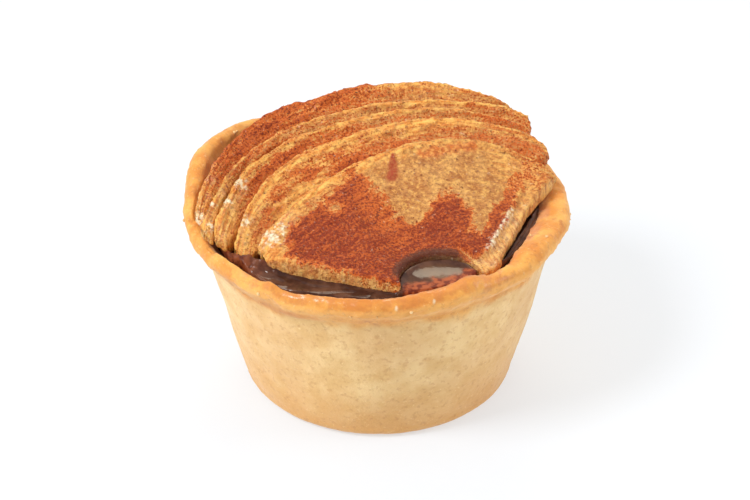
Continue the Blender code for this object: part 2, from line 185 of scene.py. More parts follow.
def band(value, rise, fall):
    """1 between two stretches: it rises over the first and falls over the second."""
    return smooth(value, *rise) * (1.0 - smooth(value, *fall))


def spot(dx, dy, size):
    """1 in the middle of a round spot, falling off smoothly round it."""
    return math.exp(-((math.hypot(dx, dy) / size) ** 2))


def spaced(first, last, steps):
    """Evenly spaced numbers from first to last."""
    return [first + (last - first) * step / steps for step in range(steps + 1)]


def polar(radius, angle):
    return radius * math.cos(angle), radius * math.sin(angle)


# ---------------------------------------------------------------- shell


def wall_radius(z):
    """Outer radius of the plain tapering wall at a height."""
    share = max(0.0, (z - FOOT_ROUNDING) / (CREASE_HEIGHT - FOOT_ROUNDING))
    return BASE_RADIUS + (CREASE_RADIUS - BASE_RADIUS) * share**WALL_BOW


def inner_radius(z):
    """Radius of the hollow at a height, before the rim's unevenness."""
    share = (z - FLOOR_HEIGHT) / (CREASE_HEIGHT - FLOOR_HEIGHT)
    return wall_radius(z) - FLOOR_WALL - (MOUTH_WALL - FLOOR_WALL) * share


def lip_wave(angle, seed):
    """The lip's unevenness round the rim, between about -1 and 1."""
    x, y = polar(LIP_RADIUS, angle)
    return waviness(x, y, 0.0, LIP_WAVE_SIZE, seed)


def lift(z, angle):
    """How far the shell stands above its plain height."""
    rise = smooth(z, RISE_START, LIP_HEIGHT) * bell(math.degrees(angle), RISE_ANGLE, RISE_SPREAD)
    lip = smooth(z, CREASE_HEIGHT - LIP_BLEND, LIP_HEIGHT)
    dent = DENT * bell(math.degrees(angle), DENT_ANGLE, DENT_SPREAD)
    return RISE * rise + lip * (LIP_WAVE * lip_wave(angle, 5.2) - dent)


def inner_side(radius, z):
    """0 on the outside of the shell's wall and lip, 1 on their inner side."""
    middle = LIP_RADIUS
    if z <= CREASE_HEIGHT:
        middle = 0.5 * (wall_radius(z) + inner_radius(z))
    return smooth(middle - radius, -0.0010, 0.0012)


def spread(radius, z, angle):
    """How far the shell stands outside its plain radius."""
    x, y = polar(radius, angle)
    bulge = smooth(z, RISE_START, LIP_HEIGHT) * bell(math.degrees(angle), BULGE_ANGLE, BULGE_SPREAD)
    lip = smooth(z, CREASE_HEIGHT - LIP_BLEND, LIP_HEIGHT)
    wall = smooth(z, 0.0, 2.0 * FOOT_ROUNDING) * waviness(x, y, z, WALL_WAVE_SIZE, 8.1)
    thin = THIN_LIP * bell(math.degrees(angle), THIN_LIP_ANGLE, THIN_LIP_SPREAD)
    broad = BROAD_LIP * bell(math.degrees(angle), BROAD_LIP_ANGLE, BROAD_LIP_SPREAD)
    width = lip * inner_side(radius, z) * (thin - broad)
    waves = 0.6 * LIP_WAVE * lip * lip_wave(angle, 3.7) + WALL_WAVE * wall
    return BULGE * bulge + width + waves


def hollow_radius(height, angle):
    """Radius of the finished hollow at a height: the lifted wall is narrower there."""
    z = height
    for _ in range(5):
        z = height - lift(z, angle)
    radius = inner_radius(z)
    return radius + spread(radius, z, angle)


# ---------------------------------------------------------------- slices


def to_fan(x, y):
    """Fan coordinates (s, w) of a place."""
    cos, sin = math.cos(FAN_TURN), math.sin(FAN_TURN)
    return x * cos + y * sin, y * cos - x * sin


def from_fan(s, w):
    cos, sin = math.cos(FAN_TURN), math.sin(FAN_TURN)
    return s * cos - w * sin, s * sin + w * cos


def crest_offset(slice_, s):
    """-1 to 1: how far s is from the crest's middle towards the left or right end."""
    side = slice_["left"] if s < slice_["middle"] else slice_["right"]
    return (s - slice_["middle"]) / side["reach"], side


def crest_w(slice_, s):
    """Where the crest lies across the fan, at s."""
    offset, side = crest_offset(slice_, s)
    return slice_["top"] - side["drop"] * min(abs(offset), BEYOND_ENDS) ** side["bend"]


def crest_height(slice_, s):
    """Height of the crest at s, from the crown down to each end."""
    left = slice_["middle"] - slice_["left"]["reach"]
    right = slice_["middle"] + slice_["right"]["reach"]
    end, at = (slice_["ends"][0], left) if s < slice_["crown_at"] else (slice_["ends"][1], right)
    share = (s - slice_["crown_at"]) / (at - slice_["crown_at"])
    return slice_["crown"] - (slice_["crown"] - end) * min(share, BEYOND_ENDS) ** 2


def leg_w(s):
    """The front slice's cut sides: a wide V, with the round core notch at its point."""
    if s < CORE_CENTRE[0]:
        w = LEFT_LEG[1] - LEFT_LEG_SLOPE * (s - LEFT_LEG[0])
    elif s < LEG_BEND[0]:
        w = RIGHT_LEG[1] + RIGHT_LEG_SLOPE * (s - RIGHT_LEG[0])
        w = max(w, -math.sqrt(LEG_REACH**2 - s**2))
    else:
        w = LEG_BEND[1] + LEG_BEND_SLOPE * (s - LEG_BEND[0])
    across = abs(s - CORE_CENTRE[0])
    if across < CORE_RADIUS:
        w = max(w, CORE_CENTRE[1] + math.sqrt(CORE_RADIUS**2 - across**2))
    return w


def slice_at(index):
    return list(SLICES.values())[index]


def front_w(index, s):
    """Where a slice's front edge lies across the fan, at s. All but the front slice reach
    under the one in front of them only as far as there is room below it."""
    slice_ = slice_at(index)
    leg, crest = leg_w(s) + slice_["leg_shift"], crest_w(slice_, s)
    if index == 0:
        return min(leg, crest - LEAST_WIDTH)
    offset = min(1.0, abs(crest_offset(slice_, s)[0]))
    widest = LEAST_WIDTH + slice_["depth"] * math.sqrt(1.0 - offset**2)
    before = crest_w(slice_at(index - 1), s)
    room = bottom_height(index - 1, s, before) - GAP - own_height(index, s, before + GAP)
    tuck = min(max(0.0, TUCK_SHARE * room - GAP), max(0.0, slice_["depth"] - (crest - before)))
    return min(max(leg, before + GAP - tuck, crest - widest), crest - LEAST_WIDTH)


def own_height(index, s, w):
    """Height of a slice's upper face before its neighbours press on it."""
    slice_ = slice_at(index)
    crest = crest_w(slice_, s)
    if index == 0:
        front = front_w(index, s)
        share = (w - front) / (crest - front)
        rise = FRONT_EDGE_RISES[0] if s < slice_["middle"] else FRONT_EDGE_RISES[1]
        low = FRONT_EDGE_HEIGHT + rise * crest_offset(slice_, s)[0] ** 2
        rise = max(0.0, crest_height(slice_, s) - low)
        if share > 1.0:
            return low + rise * (1.0 + FRONT_CURVE * (share - 1.0))
        return low + rise * max(0.0, share) ** FRONT_CURVE
    step = 0.0004
    steepness = (crest_w(slice_, s + step) - crest_w(slice_, s - step)) / (2.0 * step)
    away = (crest - w) / math.sqrt(1.0 + steepness**2)
    return crest_height(slice_, s) - slice_["lean"] * away


def top_height(index, s, w):
    """Height of a slice's upper face: each lies under the one in front of it."""
    height = own_height(index, s, w)
    if index > 0 and w < crest_w(slice_at(index - 1), s) + GAP:
        height = min(height, bottom_height(index - 1, s, w) - GAP)
    return height


def bottom_height(index, s, w):
    """Height of a slice's lower face."""
    slice_ = slice_at(index)
    slope = min(STEEPEST, slice_["lean"]) if index else FRONT_SLOPE
    return top_height(index, s, w) - slice_["thickness"] * math.sqrt(1.0 + slope**2)


def slice_span(slice_):
    return slice_["middle"] - slice_["left"]["reach"], slice_["middle"] + slice_["right"]["reach"]


def under_slices(x, y):
    """Height of the lowest slice face over a place, or high above where no slice is."""
    s, w = to_fan(x, y)
    lowest = 1.0
    for index, slice_ in enumerate(SLICES.values()):
        left, right = slice_span(slice_)
        if not left - UNDER_MARGIN < s < right + UNDER_MARGIN:
            continue
        inside = min(max(s, left), right)
        front, crest = front_w(index, inside), crest_w(slice_, inside)
        if front - UNDER_MARGIN < w < crest + UNDER_MARGIN:
            within = min(max(w, front), crest)
            lowest = min(lowest, bottom_height(index, inside, within))
    return lowest


def filling_height(x, y):
    """Height of the filling's lumpy top, domed under the slices."""
    away = math.hypot(x - DOME_CENTRE[0], y - DOME_CENTRE[1])
    height = FILLING_LEVEL + DOME_HEIGHT * math.exp(-((away / DOME_SPREAD) ** 4))
    side = smooth(math.hypot(x, y), 0.0, inner_radius(FILLING_LEVEL))
    angle = math.degrees(math.atan2(y, x))
    height += FILLING_RISE * side * bell(angle, RISE_ANGLE, RISE_SPREAD)
    notch = from_fan(*CORE_CENTRE)
    near = spot(x - notch[0], y - notch[1], NOTCH_SPREAD)
    height += max(0.0, NOTCH_LEVEL - FILLING_LEVEL) * near
    height += FILLING_LUMP * waviness(x, y, 0.0, FILLING_LUMP_SIZE, 1.3)
    reach = FILLING_REACH
    for dx, dy in ((0, 0), (reach, 0), (-reach, 0), (0, reach), (0, -reach)):
        height = min(height, under_slices(x + dx, y + dy) - GAP)
    return height


# ---------------------------------------------------------------- sizes of the fine pieces

SHELL_TURNS = 360  # faces round the shell
WALL_ROWS = 56  # rows of faces up its wall
HOLLOW_FACES = 26  # and down its hollow
FILLING_TURNS = 200
FILLING_TOP_ROWS = 66
SLICE_CUTS = 280  # cuts along a slice
FRONT_FACES = 110  # faces across the front slice
FACES_ACROSS = 48  # and across the others
CORNER_FACES = 4
UPPER_RIM = (0.0340, 0.0366)  # heights between which the rim's own changes set in
FACE_NOT_MADE_PALER = (-150.0, 30.0)  # where the lip's outer face is not made paler
CRUMB_RISE = 0.00035
RIM_LUMPS = (  # lumps of pastry on the rim, as (x, y, size, height)
    (-0.0202, -0.0314, 0.0020, 0.0016), (0.0168, -0.0318, 0.0036, 0.0013),
    (0.0285, -0.0215, 0.0026, 0.0005), (-0.0305, -0.0215, 0.0022, 0.0006),
)
GLAZED_RIM = (-92.0, 50.0)  # the middle and half the width, in degrees, of the wet stretch of rim
GLINTING_RIM_CRUMBS = (  # raised crumbs on the rim, with painted highlights on them, as (x, y, size)
    (-0.0010, -0.0381, 0.0005), (0.0034, -0.0375, 0.0004), (-0.0098, -0.0375, 0.0006),
    (-0.0084, -0.0379, 0.0004), (0.0248, -0.0191, 0.0005), (0.0105, -0.0362, 0.0004),
    (-0.0112, -0.0369, 0.0004), (0.0048, -0.0381, 0.0004),
)
SLOPING_RIM = (-16.0, 26.0)  # where the rim's inner side slopes furthest in, and how widely
SLOPING_REACH = 0.0019
THINNEST_RIM = (-131.0, 17.0)  # and where it stands furthest back
THINNEST_REACH = 0.0012
LOW_RIM = (-117.0, 17.0)  # where the whole rim sags a little
LOW_RIM_DROP = 0.0009
LEG_BEVEL = 0.0034  # width of the sloping strip along the front slice's right cut side
LEG_BEVEL_DROP = 0.0013
LEG_STRIP = ((0.0040, 0.0070), (0.021, 0.028))  # the strip's start and end along s
LEG_TRIM = 0.0012  # how far the strip's foot stands back in its middle
LEG_TRIMMED = ((0.0085, 0.0135), (0.0225, 0.0275))
LEG_DUST = ((0.0026, 0.0036), (0.0052, 0.0068))  # cinnamon lies thick this far from the leg
THIN_MIDDLE = (-4.5, 4.0)  # less cinnamon here on the front slice, in millimetres along s
PALE_MARGIN = ((0.0060, 0.0110), (0.0210, 0.0250))  # of slice_2, to the left of the middle
CONTACT = 0.00042  # how much thicker a slice is here, so that it rests on the next
PRESS_BLEND = 0.0007  # how softly the lip gives way under a slice
SYRUP_TURNS = 220
SYRUP_ROWS = 26
SYRUP_DEPTH = 0.0016
SYRUP_BRIM = 0.0372  # the height whose hollow the syrup fills
SYRUP_LEVEL = 0.0374
SYRUP_CREEP = 0.0005  # how much higher it creeps up the front slice
NOTCH_SYRUP_LEVEL = 0.0379
NOTCH_CREEP = 0.0012
FRONT_SYRUP = (-172.0, -54.5)  # degrees round the rim
RIGHT_SYRUP = (-46.0, 0.0)
HEAP = 0.0025  # fruit heaped up between the slices' left ends
HEAP_ANGLE = (-136.0, 8.0)

LEG_SQUARE = math.cos(math.atan(RIGHT_LEG_SLOPE))  # across the fan to square to the cut side

# Where cinnamon lies thick on the front slice, in fan coordinates
DUSTED_PATCH = (
    (-0.0266, -0.0150), (-0.0247, -0.0113), (-0.0222, -0.0078), (-0.0181, -0.0058), (-0.0136, -0.0050),
    (-0.0118, -0.0036), (-0.0083, -0.0018), (-0.0055, 0.0010), (-0.0040, -0.0016), (-0.0024, -0.0060),
    (-0.0018, -0.0110), (-0.0002, -0.0152), (0.0030, -0.0148), (0.0058, -0.0124),
    (0.0092, -0.0111), (0.0117, -0.0128), (0.0116, -0.0180), (0.0100, -0.0222), (0.0112, -0.0262),
    (0.0072, -0.0325), (0.0043, -0.0300), (-0.0036, -0.0263), (-0.0097, -0.0330), (-0.0154, -0.0270),
    (-0.0230, -0.0190),
)
BARE_SPOT = (-0.0126, -0.0075)  # a pale spot inside the thick cinnamon
BARE_SPOT_SIZE = 0.0016
DRIP = ((0.0034, 0.0004), (0.0012, -0.0036))  # a dark drip of cinnamon syrup
DRIP_WIDTH = 0.0010
STREAK = ((0.0090, -0.0012), (0.0205, -0.0018))  # a faint orange streak under the crest
STREAK_WIDTH = 0.0010

# Where highlights of glaze drops are painted on, as (s, w, size)
PAINTED_GLEAMS = {
    "slice_1": ((-0.0268, -0.0092, 0.0022), (-0.0244, -0.0081, 0.0014)),
    "slice_2": ((-0.0288, -0.0007, 0.0014),),
    "slice_3": ((-0.0301, 0.0056, 0.0013), (-0.0258, 0.0098, 0.0016)),
    "slice_4": ((-0.0337, 0.0052, 0.0012), (-0.0352, 0.0002, 0.0013)),
    "slice_5": ((-0.0360, 0.0045, 0.0014),),
}
# A painted highlight along the front slice's right cut side
LEG_PAINTED_GLEAM = ((0.0104, -0.0275), (0.0200, -0.0187))
LEG_PAINTED_GLEAM_WIDTH = 0.0006

# How thick the cinnamon lies along each of the other slices, as (s, in the groove, at the crest)
DUSTING = {
    "slice_2": ((-0.0345, 0.30, 0.05), (-0.027, 0.55, 0.10), (-0.018, 0.95, 0.25), (-0.006, 0.85, 0.25),
                (0.006, 0.60, 0.24), (0.018, 0.48, 0.14), (0.035, 0.58, 0.36)),
    "slice_3": ((-0.0370, 0.25, 0.05), (-0.030, 0.42, 0.10), (-0.019, 0.74, 0.20), (-0.006, 0.70, 0.22),
                (0.008, 0.50, 0.14), (0.020, 0.44, 0.12), (0.034, 0.62, 0.34)),
    "slice_4": ((-0.0380, 0.22, 0.04), (-0.030, 0.34, 0.08), (-0.020, 0.58, 0.18), (-0.008, 0.48, 0.14),
                (0.008, 0.46, 0.10), (0.020, 0.38, 0.10), (0.035, 0.56, 0.30)),
    "slice_5": ((-0.0370, 0.40, 0.25), (-0.032, 0.68, 0.62), (-0.016, 0.76, 0.80), (-0.004, 0.60, 0.72),
                (0.007, 0.60, 0.72), (0.018, 0.38, 0.28), (0.034, 0.42, 0.26)),
}

# What each place on a slice is marked with
SLICE_MASKS = ("spice", "pale", "drip", "cut", "wet", "painted_gleam", "soak_and_shade", "stain")


def srgb(red, green, blue):
    """A colour as seen, 0 to 255, as linear light."""
    seen = [level / 255.0 for level in (red, green, blue)]
    linear = [c / 12.92 if c < 0.04045 else ((c + 0.055) / 1.055) ** 2.4 for c in seen]
    return (*linear, 1.0)


WORLD_LIGHT = 0.72
WORLD_LIGHT_FRONT = 0.46
FLESH_LIGHT = srgb(220, 162, 90)
FLESH = srgb(184, 114, 52)
FLESH_DARK = srgb(158, 90, 42)
CREST_LIGHT = srgb(255, 202, 106)
CREST = srgb(230, 142, 54)
SIDE_LIGHT = srgb(244, 192, 116)
SIDE = srgb(212, 138, 74)
RUST_THIN = srgb(216, 108, 38)
RUST = srgb(140, 47, 12)
RUST_LIGHT = srgb(184, 84, 34)
RUST_DARK = srgb(112, 38, 12)
FLECK = srgb(124, 66, 30)
# colour of the painted highlights
PAINTED_GLINT = srgb(255, 246, 214)
# colour of syrup soak and painted shade round the core notch
SOAKED_AND_SHADED = srgb(92, 52, 36)
STREAKED = srgb(206, 104, 36)
SHADOWED = srgb(134, 64, 24)
BRIGHTENED = srgb(255, 204, 110)
DRIP_COLOUR = srgb(168, 62, 30)
SYRUP_DARK = srgb(64, 36, 27)
SYRUP = srgb(103, 68, 51)
SYRUP_CLEAR_DARK = srgb(76, 42, 18)
SYRUP_CLEAR = srgb(98, 62, 30)
WHITE = (1.0, 1.0, 1.0, 1.0)
LIGHT_BELOW = {"Subsurface Radius": (0.004, 0.002, 0.001), "Subsurface Scale": 1.0}
LAMPS = {  # place, width, height, power and colour
    "key_light": ((-0.45, -0.27, 0.62), 0.26, 0.26, 3.95, (1.0, 1.0, 1.0)),
    "fill_light": ((0.70, -0.05, 0.34), 0.40, 0.40, 1.55, (1.0, 1.0, 1.0)),
    "left_light": ((-0.70, -0.30, 0.16), 0.40, 0.40, 0.9, (1.0, 1.0, 1.0)),
    "back_light": ((0.05, 0.55, 0.70), 0.50, 0.26, 1.7, (1.0, 0.90, 0.70)),
}
LAMP_TARGET = (0.0, 0.0, 0.03)
CAMERA_DOWN = 33.8  # degrees below level
CAMERA_AWAY = 0.4263
CAMERA_TARGET = (0.0, 0.0, 0.01854)


# ---------------------------------------------------------------- node trees


class Value:
    """A node's output, which adds, subtracts and multiplies like a number."""

    def __init__(self, tree, socket):
        self.tree, self.socket = tree, socket

    def __add__(self, other):
        return self.tree.maths("ADD", self, other)

    def __sub__(self, other):
        return self.tree.maths("SUBTRACT", self, other)

    def __mul__(self, other):
        return self.tree.maths("MULTIPLY", self, other)

    def ramp(self, low, high, to_low=0.0, to_high=1.0, kind="SMOOTHSTEP"):
        """This value between low and high as a number between to_low and to_high."""
        return self.tree.put("ShaderNodeMapRange", {
            "Value": self, "From Min": low, "From Max": high, "To Min": to_low, "To Max": to_high,
        }, interpolation_type=kind)

    def mix(self, first, second):
        """The first colour blended to the second by this share."""
        return self.tree.put("ShaderNodeMix", {0: self, 6: first, 7: second}, 2, data_type="RGBA")


class Tree:
    """A node tree that is being built."""

    def __init__(self, tree):
        self.tree = tree

    @cached_property
    def place(self):
        return self.put("ShaderNodeTexCoord", out="Object")

    def fill(self, node, inputs):
        """Gives each input a plain value or another node's output."""
        for key, value in inputs.items():
            if isinstance(value, Value):
                self.tree.links.new(value.socket, node.inputs[key])
            else:
                node.inputs[key].default_value = value

    def put(self, kind, inputs=None, out=0, **settings):
        """A new node's output, or a list of them where out is a tuple."""
        node = self.tree.nodes.new(kind)
        for key, value in settings.items():
            setattr(node, key, value)
        self.fill(node, inputs or {})
        if isinstance(out, tuple):
            return [Value(self, node.outputs[key]) for key in out]
        return Value(self, node.outputs[out])

    def maths(self, operation, first, second=0.0, clamp=False):
        return self.put("ShaderNodeMath", {0: first, 1: second}, operation=operation, use_clamp=clamp)

    def speckle(self, scale, detail=3.0, rough=0.55, at=None, distortion=0.0):
        return self.put("ShaderNodeTexNoise", {
            "Vector": at or self.place, "Scale": scale, "Detail": detail, "Roughness": rough,
            "Distortion": distortion,
        })

    def bump(self, height, distance, strength, **under):
        inputs = {"Height": height, "Distance": distance, "Strength": strength, **under}
        return self.put("ShaderNodeBump", inputs)

    def group(self, group, inputs, out=0):
        return self.put("ShaderNodeGroup", {"Place": self.place, **inputs}, out, node_tree=group)


class Group(Tree):
    """A node group. A number is an input's value, and a word is the type of its socket."""

    def __init__(self, kind, name, inputs, outputs):
        super().__init__(bpy.data.node_groups.new(name, kind))
        for direction, sockets in (("INPUT", inputs), ("OUTPUT", outputs)):
            for label, value in sockets.items():
                word = value if isinstance(value, str) else type(value).__name__.capitalize()
                made = self.tree.interface.new_socket(
                    label, in_out=direction, socket_type="NodeSocket" + word
                )
                if word != value:
                    made.default_value = value
        self.given = self.tree.nodes.new("NodeGroupInput")
        if "Place" in inputs:
            self.place = self.take("Place")

    def take(self, label):
        return Value(self, self.given.outputs[label])

    def finish(self, outputs):
        self.fill(self.tree.nodes.new("NodeGroupOutput"), outputs)
        return self.tree

    def finish_piece(self, geometry, label):
        real = self.put("GeometryNodeRealizeInstances", {"Geometry": geometry})
        inputs = {"Geometry": real, "Material": self.take("Material")}
        return self.finish({label: self.put("GeometryNodeSetMaterial", inputs)})


class Surface(Tree):
    """A material."""

    def __init__(self, name):
        self.material = bpy.data.materials.new(name)
        self.material.use_nodes = True
        super().__init__(self.material.node_tree)

    def masks(self, *names):
        return [self.put("ShaderNodeAttribute", out="Fac", attribute_name=name) for name in names]

    def finish(self, inputs):
        self.fill(self.tree.nodes["Principled BSDF"], inputs)
        return self.material


def mottling_group():
    """Soft patches and fine specks, as two masks between 0 and 1."""
    group = Group("ShaderNodeTree", "mottling", {
        "Place": "Vector", "Patch Scale": 150.0, "Speck Scale": 1100.0,
    }, {"Patches": "Float", "Specks": "Float"})
    patches = group.speckle(group.take("Patch Scale"), 4.0, 0.55, distortion=0.3)
    specks = group.speckle(group.take("Speck Scale"), 2.0, 0.6)
    return group.finish({"Patches": patches.ramp(0.32, 0.70), "Specks": specks.ramp(0.52, 0.72)})


def crumb_group():
    """Height of a cooked surface: fine grain and small pits."""
    group = Group("ShaderNodeTree", "crumb_grain", {
        "Place": "Vector", "Grain Scale": 1500.0, "Pit Scale": 380.0, "Pit Depth": 0.5,
    }, {"Height": "Float"})
    cells = group.put("ShaderNodeTexVoronoi", {"Vector": group.place, "Scale": group.take("Pit Scale")})
    pits = cells.ramp(0.05, 0.32) * group.take("Pit Depth")
    return group.finish({"Height": group.speckle(group.take("Grain Scale"), 3.0, 0.6) + pits})


# ---------------------------------------------------------------- materials


def shortcrust_material(mottling, grain):
    """Pale sandy pastry, browner along the lip and the foot, with painted highlights on the highest
    crumbs.
    """
    pastry = Surface("baked_shortcrust")
    lip, inside, foot, glaze, painted_gleam = pastry.masks("lip", "inside", "foot", "glaze", "painted_gleam")
    sizes = {"Patch Scale": 170.0, "Speck Scale": 950.0}
    patches, specks = pastry.group(mottling, sizes, ("Patches", "Specks"))
    broad = pastry.speckle(60.0)
    sandy = patches.mix(srgb(243, 207, 146), srgb(226, 182, 118))
    sandy = broad.ramp(0.40, 0.68, 0.0, 0.55).mix(sandy, srgb(219, 170, 110))
    golden = patches.mix(srgb(238, 174, 84), srgb(218, 138, 58))
    brown = pastry.speckle(260.0, 4.0, 0.65).ramp(0.54, 0.74)
    golden = (brown * 0.80).mix(golden, srgb(184, 104, 52))
    pinkish = patches.mix(srgb(230, 164, 106), srgb(206, 124, 74))
    pinkish = brown.ramp(0.2, 0.9, 0.0, 0.5).mix(pinkish, srgb(168, 92, 56))
    lip = lip + (broad - 0.5) * 0.5
    golden = lip.ramp(1.0, 1.45, 0.0, 0.55).mix(golden, srgb(250, 188, 104))
    colour = lip.ramp(0.10, 0.95).mix(sandy, golden)
    colour = foot.ramp(0.0, 1.0, 0.0, 0.85, "LINEAR").mix(colour, srgb(217, 160, 92))
    colour = inside.mix(colour, pinkish)
    colour = (specks * 0.38).mix(colour, srgb(190, 126, 70))
    grit = pastry.speckle(1500.0, 3.0, 0.7).ramp(0.58, 0.74, 0.0, 0.45)
    colour = grit.mix(colour, srgb(255, 226, 168))
    smears = pastry.speckle(520.0).ramp(0.40, 0.62)
    stain = glaze + smears * 0.35
    colour = stain.ramp(0.30, 1.10, 0.0, 0.80).mix(colour, srgb(208, 126, 50))
    height = pastry.group(grain, {"Grain Scale": 1600.0, "Pit Scale": 520.0, "Pit Depth": 0.32})
    return pastry.finish({
        # painted highlights on the rim's raised crumbs
        "Base Color": painted_gleam.ramp(0.3, 0.9, 0.0, 0.60).mix(colour, PAINTED_GLINT),
        "Roughness": patches.ramp(0.0, 1.0, 0.60, 0.78),
        "Normal": pastry.bump(height, 0.00017, 0.8),
        "Coat Weight": glaze * smears, "Coat Roughness": 0.22, "Specular IOR Level": 0.35,
        "Sheen Weight": 0.22, "Sheen Roughness": 0.45, "Sheen Tint": (1.0, 0.95, 0.86, 1.0),
        "Subsurface Weight": 0.08, **LIGHT_BELOW,
    })


def apple_material(mottling, grain):
    """Cooked apple flesh with cinnamon in the grooves and patches, wet with glaze in places."""
    apple = Surface("glazed_cinnamon_apple")
    spice, pale, drip, cut, wet, painted_gleam, soak_and_shade, stain = apple.masks(*SLICE_MASKS)
    fan = apple.put("ShaderNodeAttribute", out="Vector", attribute_name="fan")
    stretched, long, across = (
        apple.put("ShaderNodeMapping", {"Vector": fan, "Scale": scale})
        for scale in ((0.28, 1.0, 1.0), (0.07, 1.0, 1.0), (1.0, 0.25, 0.25))
    )
    fibres = apple.speckle(1100.0, 4.0, 0.6, stretched)
    cells = apple.speckle(1500.0, 4.0, 0.7)
    patches = apple.group(mottling, {"Patch Scale": 330.0, "Speck Scale": 1900.0})
    blotches = apple.speckle(260.0, 2.0).ramp(0.36, 0.64)
    flesh = ((patches + blotches) * 0.5).mix(FLESH_LIGHT, FLESH)
    flesh = cells.ramp(0.50, 0.72).mix(flesh, FLESH_DARK)
    streaks = apple.speckle(1150.0, 3.0, 0.6, long).ramp(0.42, 0.62)
    crest = fibres.ramp(0.38, 0.62).mix(CREST_LIGHT, CREST)
    colour = pale.mix(flesh, (streaks * 0.55).mix(crest, STREAKED))
    side = apple.speckle(1300.0, 3.0, 0.6, across).ramp(0.36, 0.64).mix(SIDE_LIGHT, SIDE)
    colour = cut.mix(colour, side)
    colour = (stain * 0.85).mix(colour, STREAKED)
    shade = apple.speckle(1080.0, 4.0, 0.7).ramp(0.30, 0.70)
    colour = shade.ramp(0.5, 1.0, 0.0, 0.50).mix(colour, SHADOWED)
    colour = shade.ramp(0.5, 0.0, 0.0, 0.50).mix(colour, BRIGHTENED)
    powder = apple.speckle(2000.0, 4.0, 0.75).ramp(0.32, 0.68)
    drift = apple.speckle(700.0, 5.0, 0.65, stretched).ramp(0.32, 0.68) * 0.6 + streaks * 0.4
    level = spice + (powder * 0.60 + drift * 0.36) - 0.48
    amount = level.ramp(0.34, 0.60)
    rust = level.ramp(0.55, 1.15).mix(RUST_THIN, RUST)
    rust = powder.ramp(0.60, 1.0, 0.0, 0.75).mix(rust, RUST_DARK)
    rust = powder.ramp(0.40, 0.0, 0.0, 0.72).mix(rust, RUST_LIGHT)
    colour = amount.mix(colour, rust)
    flecks = apple.speckle(1500.0, 2.0, 0.5).ramp(0.66, 0.73)
    colour = (flecks * 0.8).mix(colour, FLECK)
    colour = (drip * powder.ramp(0.1, 0.8, 1.0, 0.7)).mix(colour, DRIP_COLOUR)
    # Darker round the core notch: syrup soak and painted shade
    soaked_and_shaded = (soak_and_shade + (powder - 0.5) * 0.3).ramp(0.1, 0.9)
    colour = (soaked_and_shaded * 0.86).mix(colour, SOAKED_AND_SHADED)
    wet_spots = apple.speckle(1250.0, 3.0, 0.6)
    # Painted highlights: cream glints mixed into the colour where the gleam mask is high
    painted_glint = (wet_spots + painted_gleam * 0.34).ramp(0.62, 0.92)
    film = apple.speckle(420.0).ramp(0.42, 0.60, 0.0, 0.9)
    height = apple.group(grain, {"Grain Scale": 2300.0, "Pit Scale": 1300.0})
    under = apple.bump(fibres + cells, 0.00045, 0.8)
    return apple.finish({
        "Base Color": (painted_glint * 0.85).mix(colour, PAINTED_GLINT),
        "Roughness": amount.ramp(0.0, 1.0, 0.42, 0.66) - painted_gleam * 0.25,
        "Normal": apple.bump(height, 0.00020, 0.8, Normal=under),
        "Coat Weight": apple.maths("ADD", film * wet, 0.06, clamp=True),
        "Coat Normal": apple.bump(wet_spots, 0.0010, 0.9, Normal=under),
        "Coat Roughness": 0.12, "Coat IOR": 1.55, "Specular IOR Level": 0.25,
        "Subsurface Weight": 0.10, **LIGHT_BELOW,
    })


def stewed_material(mottling, grain):
    """Dark stewed apple in syrup."""
    stewed = Surface("stewed_apple_in_syrup")
    patches = stewed.group(mottling, {"Patch Scale": 260.0, "Speck Scale": 1200.0})
    lumps = stewed.speckle(420.0, 4.0)
    dark = patches.mix(srgb(96, 52, 32), srgb(132, 76, 44))
    height = stewed.group(grain, {"Grain Scale": 900.0, "Pit Scale": 420.0})
    return stewed.finish({
        "Base Color": lumps.ramp(0.55, 0.75).mix(dark, srgb(160, 98, 56)),
        "Roughness": lumps.ramp(0.3, 0.8, 0.12, 0.35),
        "Normal": stewed.bump(height, 0.00025, 0.5),
        "Coat Weight": 0.6, "Coat Roughness": 0.06,
    })


def syrup_material():
    """Set syrup: smooth, dark and glossy, with clouds of fruit under it."""
    syrup = Surface("set_syrup")
    fruit, deep = syrup.masks("fruit", "deep")
    clouds = syrup.speckle(240.0, 4.0)
    cloudy = clouds.ramp(0.38, 0.66)
    colour = deep.mix(cloudy.mix(SYRUP_CLEAR_DARK, SYRUP_CLEAR), cloudy.mix(SYRUP_DARK, SYRUP))
    reddish = syrup.speckle(900.0).ramp(0.4, 0.6).mix(srgb(172, 86, 44), RUST_DARK)
    clear = syrup.maths("SUBTRACT", 1.0, deep) * syrup.maths("SUBTRACT", 1.0, fruit)
    return syrup.finish({
        "Base Color": fruit.mix(colour, reddish),
        "Roughness": fruit.ramp(0.0, 1.0, 0.07, 0.45),
        "Normal": syrup.bump(clouds, 0.0003, 0.4),
        "Coat Weight": clear * 0.22, "Coat Roughness": 0.05, "Specular IOR Level": 0.24,
    })


def grain_material(name, first, second, rough):
    """Small loose grains, such as crumbs or cinnamon."""
    grains = Surface(name)
    shade = grains.speckle(700.0, 2.0)
    return grains.finish({
        "Base Color": shade.ramp(0.35, 0.65).mix(first, second),
        "Roughness": shade.ramp(0.3, 0.7, rough, rough + 0.15),
        "Normal": grains.bump(shade, 0.0002, 0.5),
    })


def floor_material():
    return Surface("studio_floor").finish({
        "Base Color": (0.35, 0.376, 0.412, 1.0), "Roughness": 0.9, "Specular IOR Level": 0.0,
        "Emission Color": WHITE, "Emission Strength": 0.55,
    })


# ---------------------------------------------------------------- geometry trees


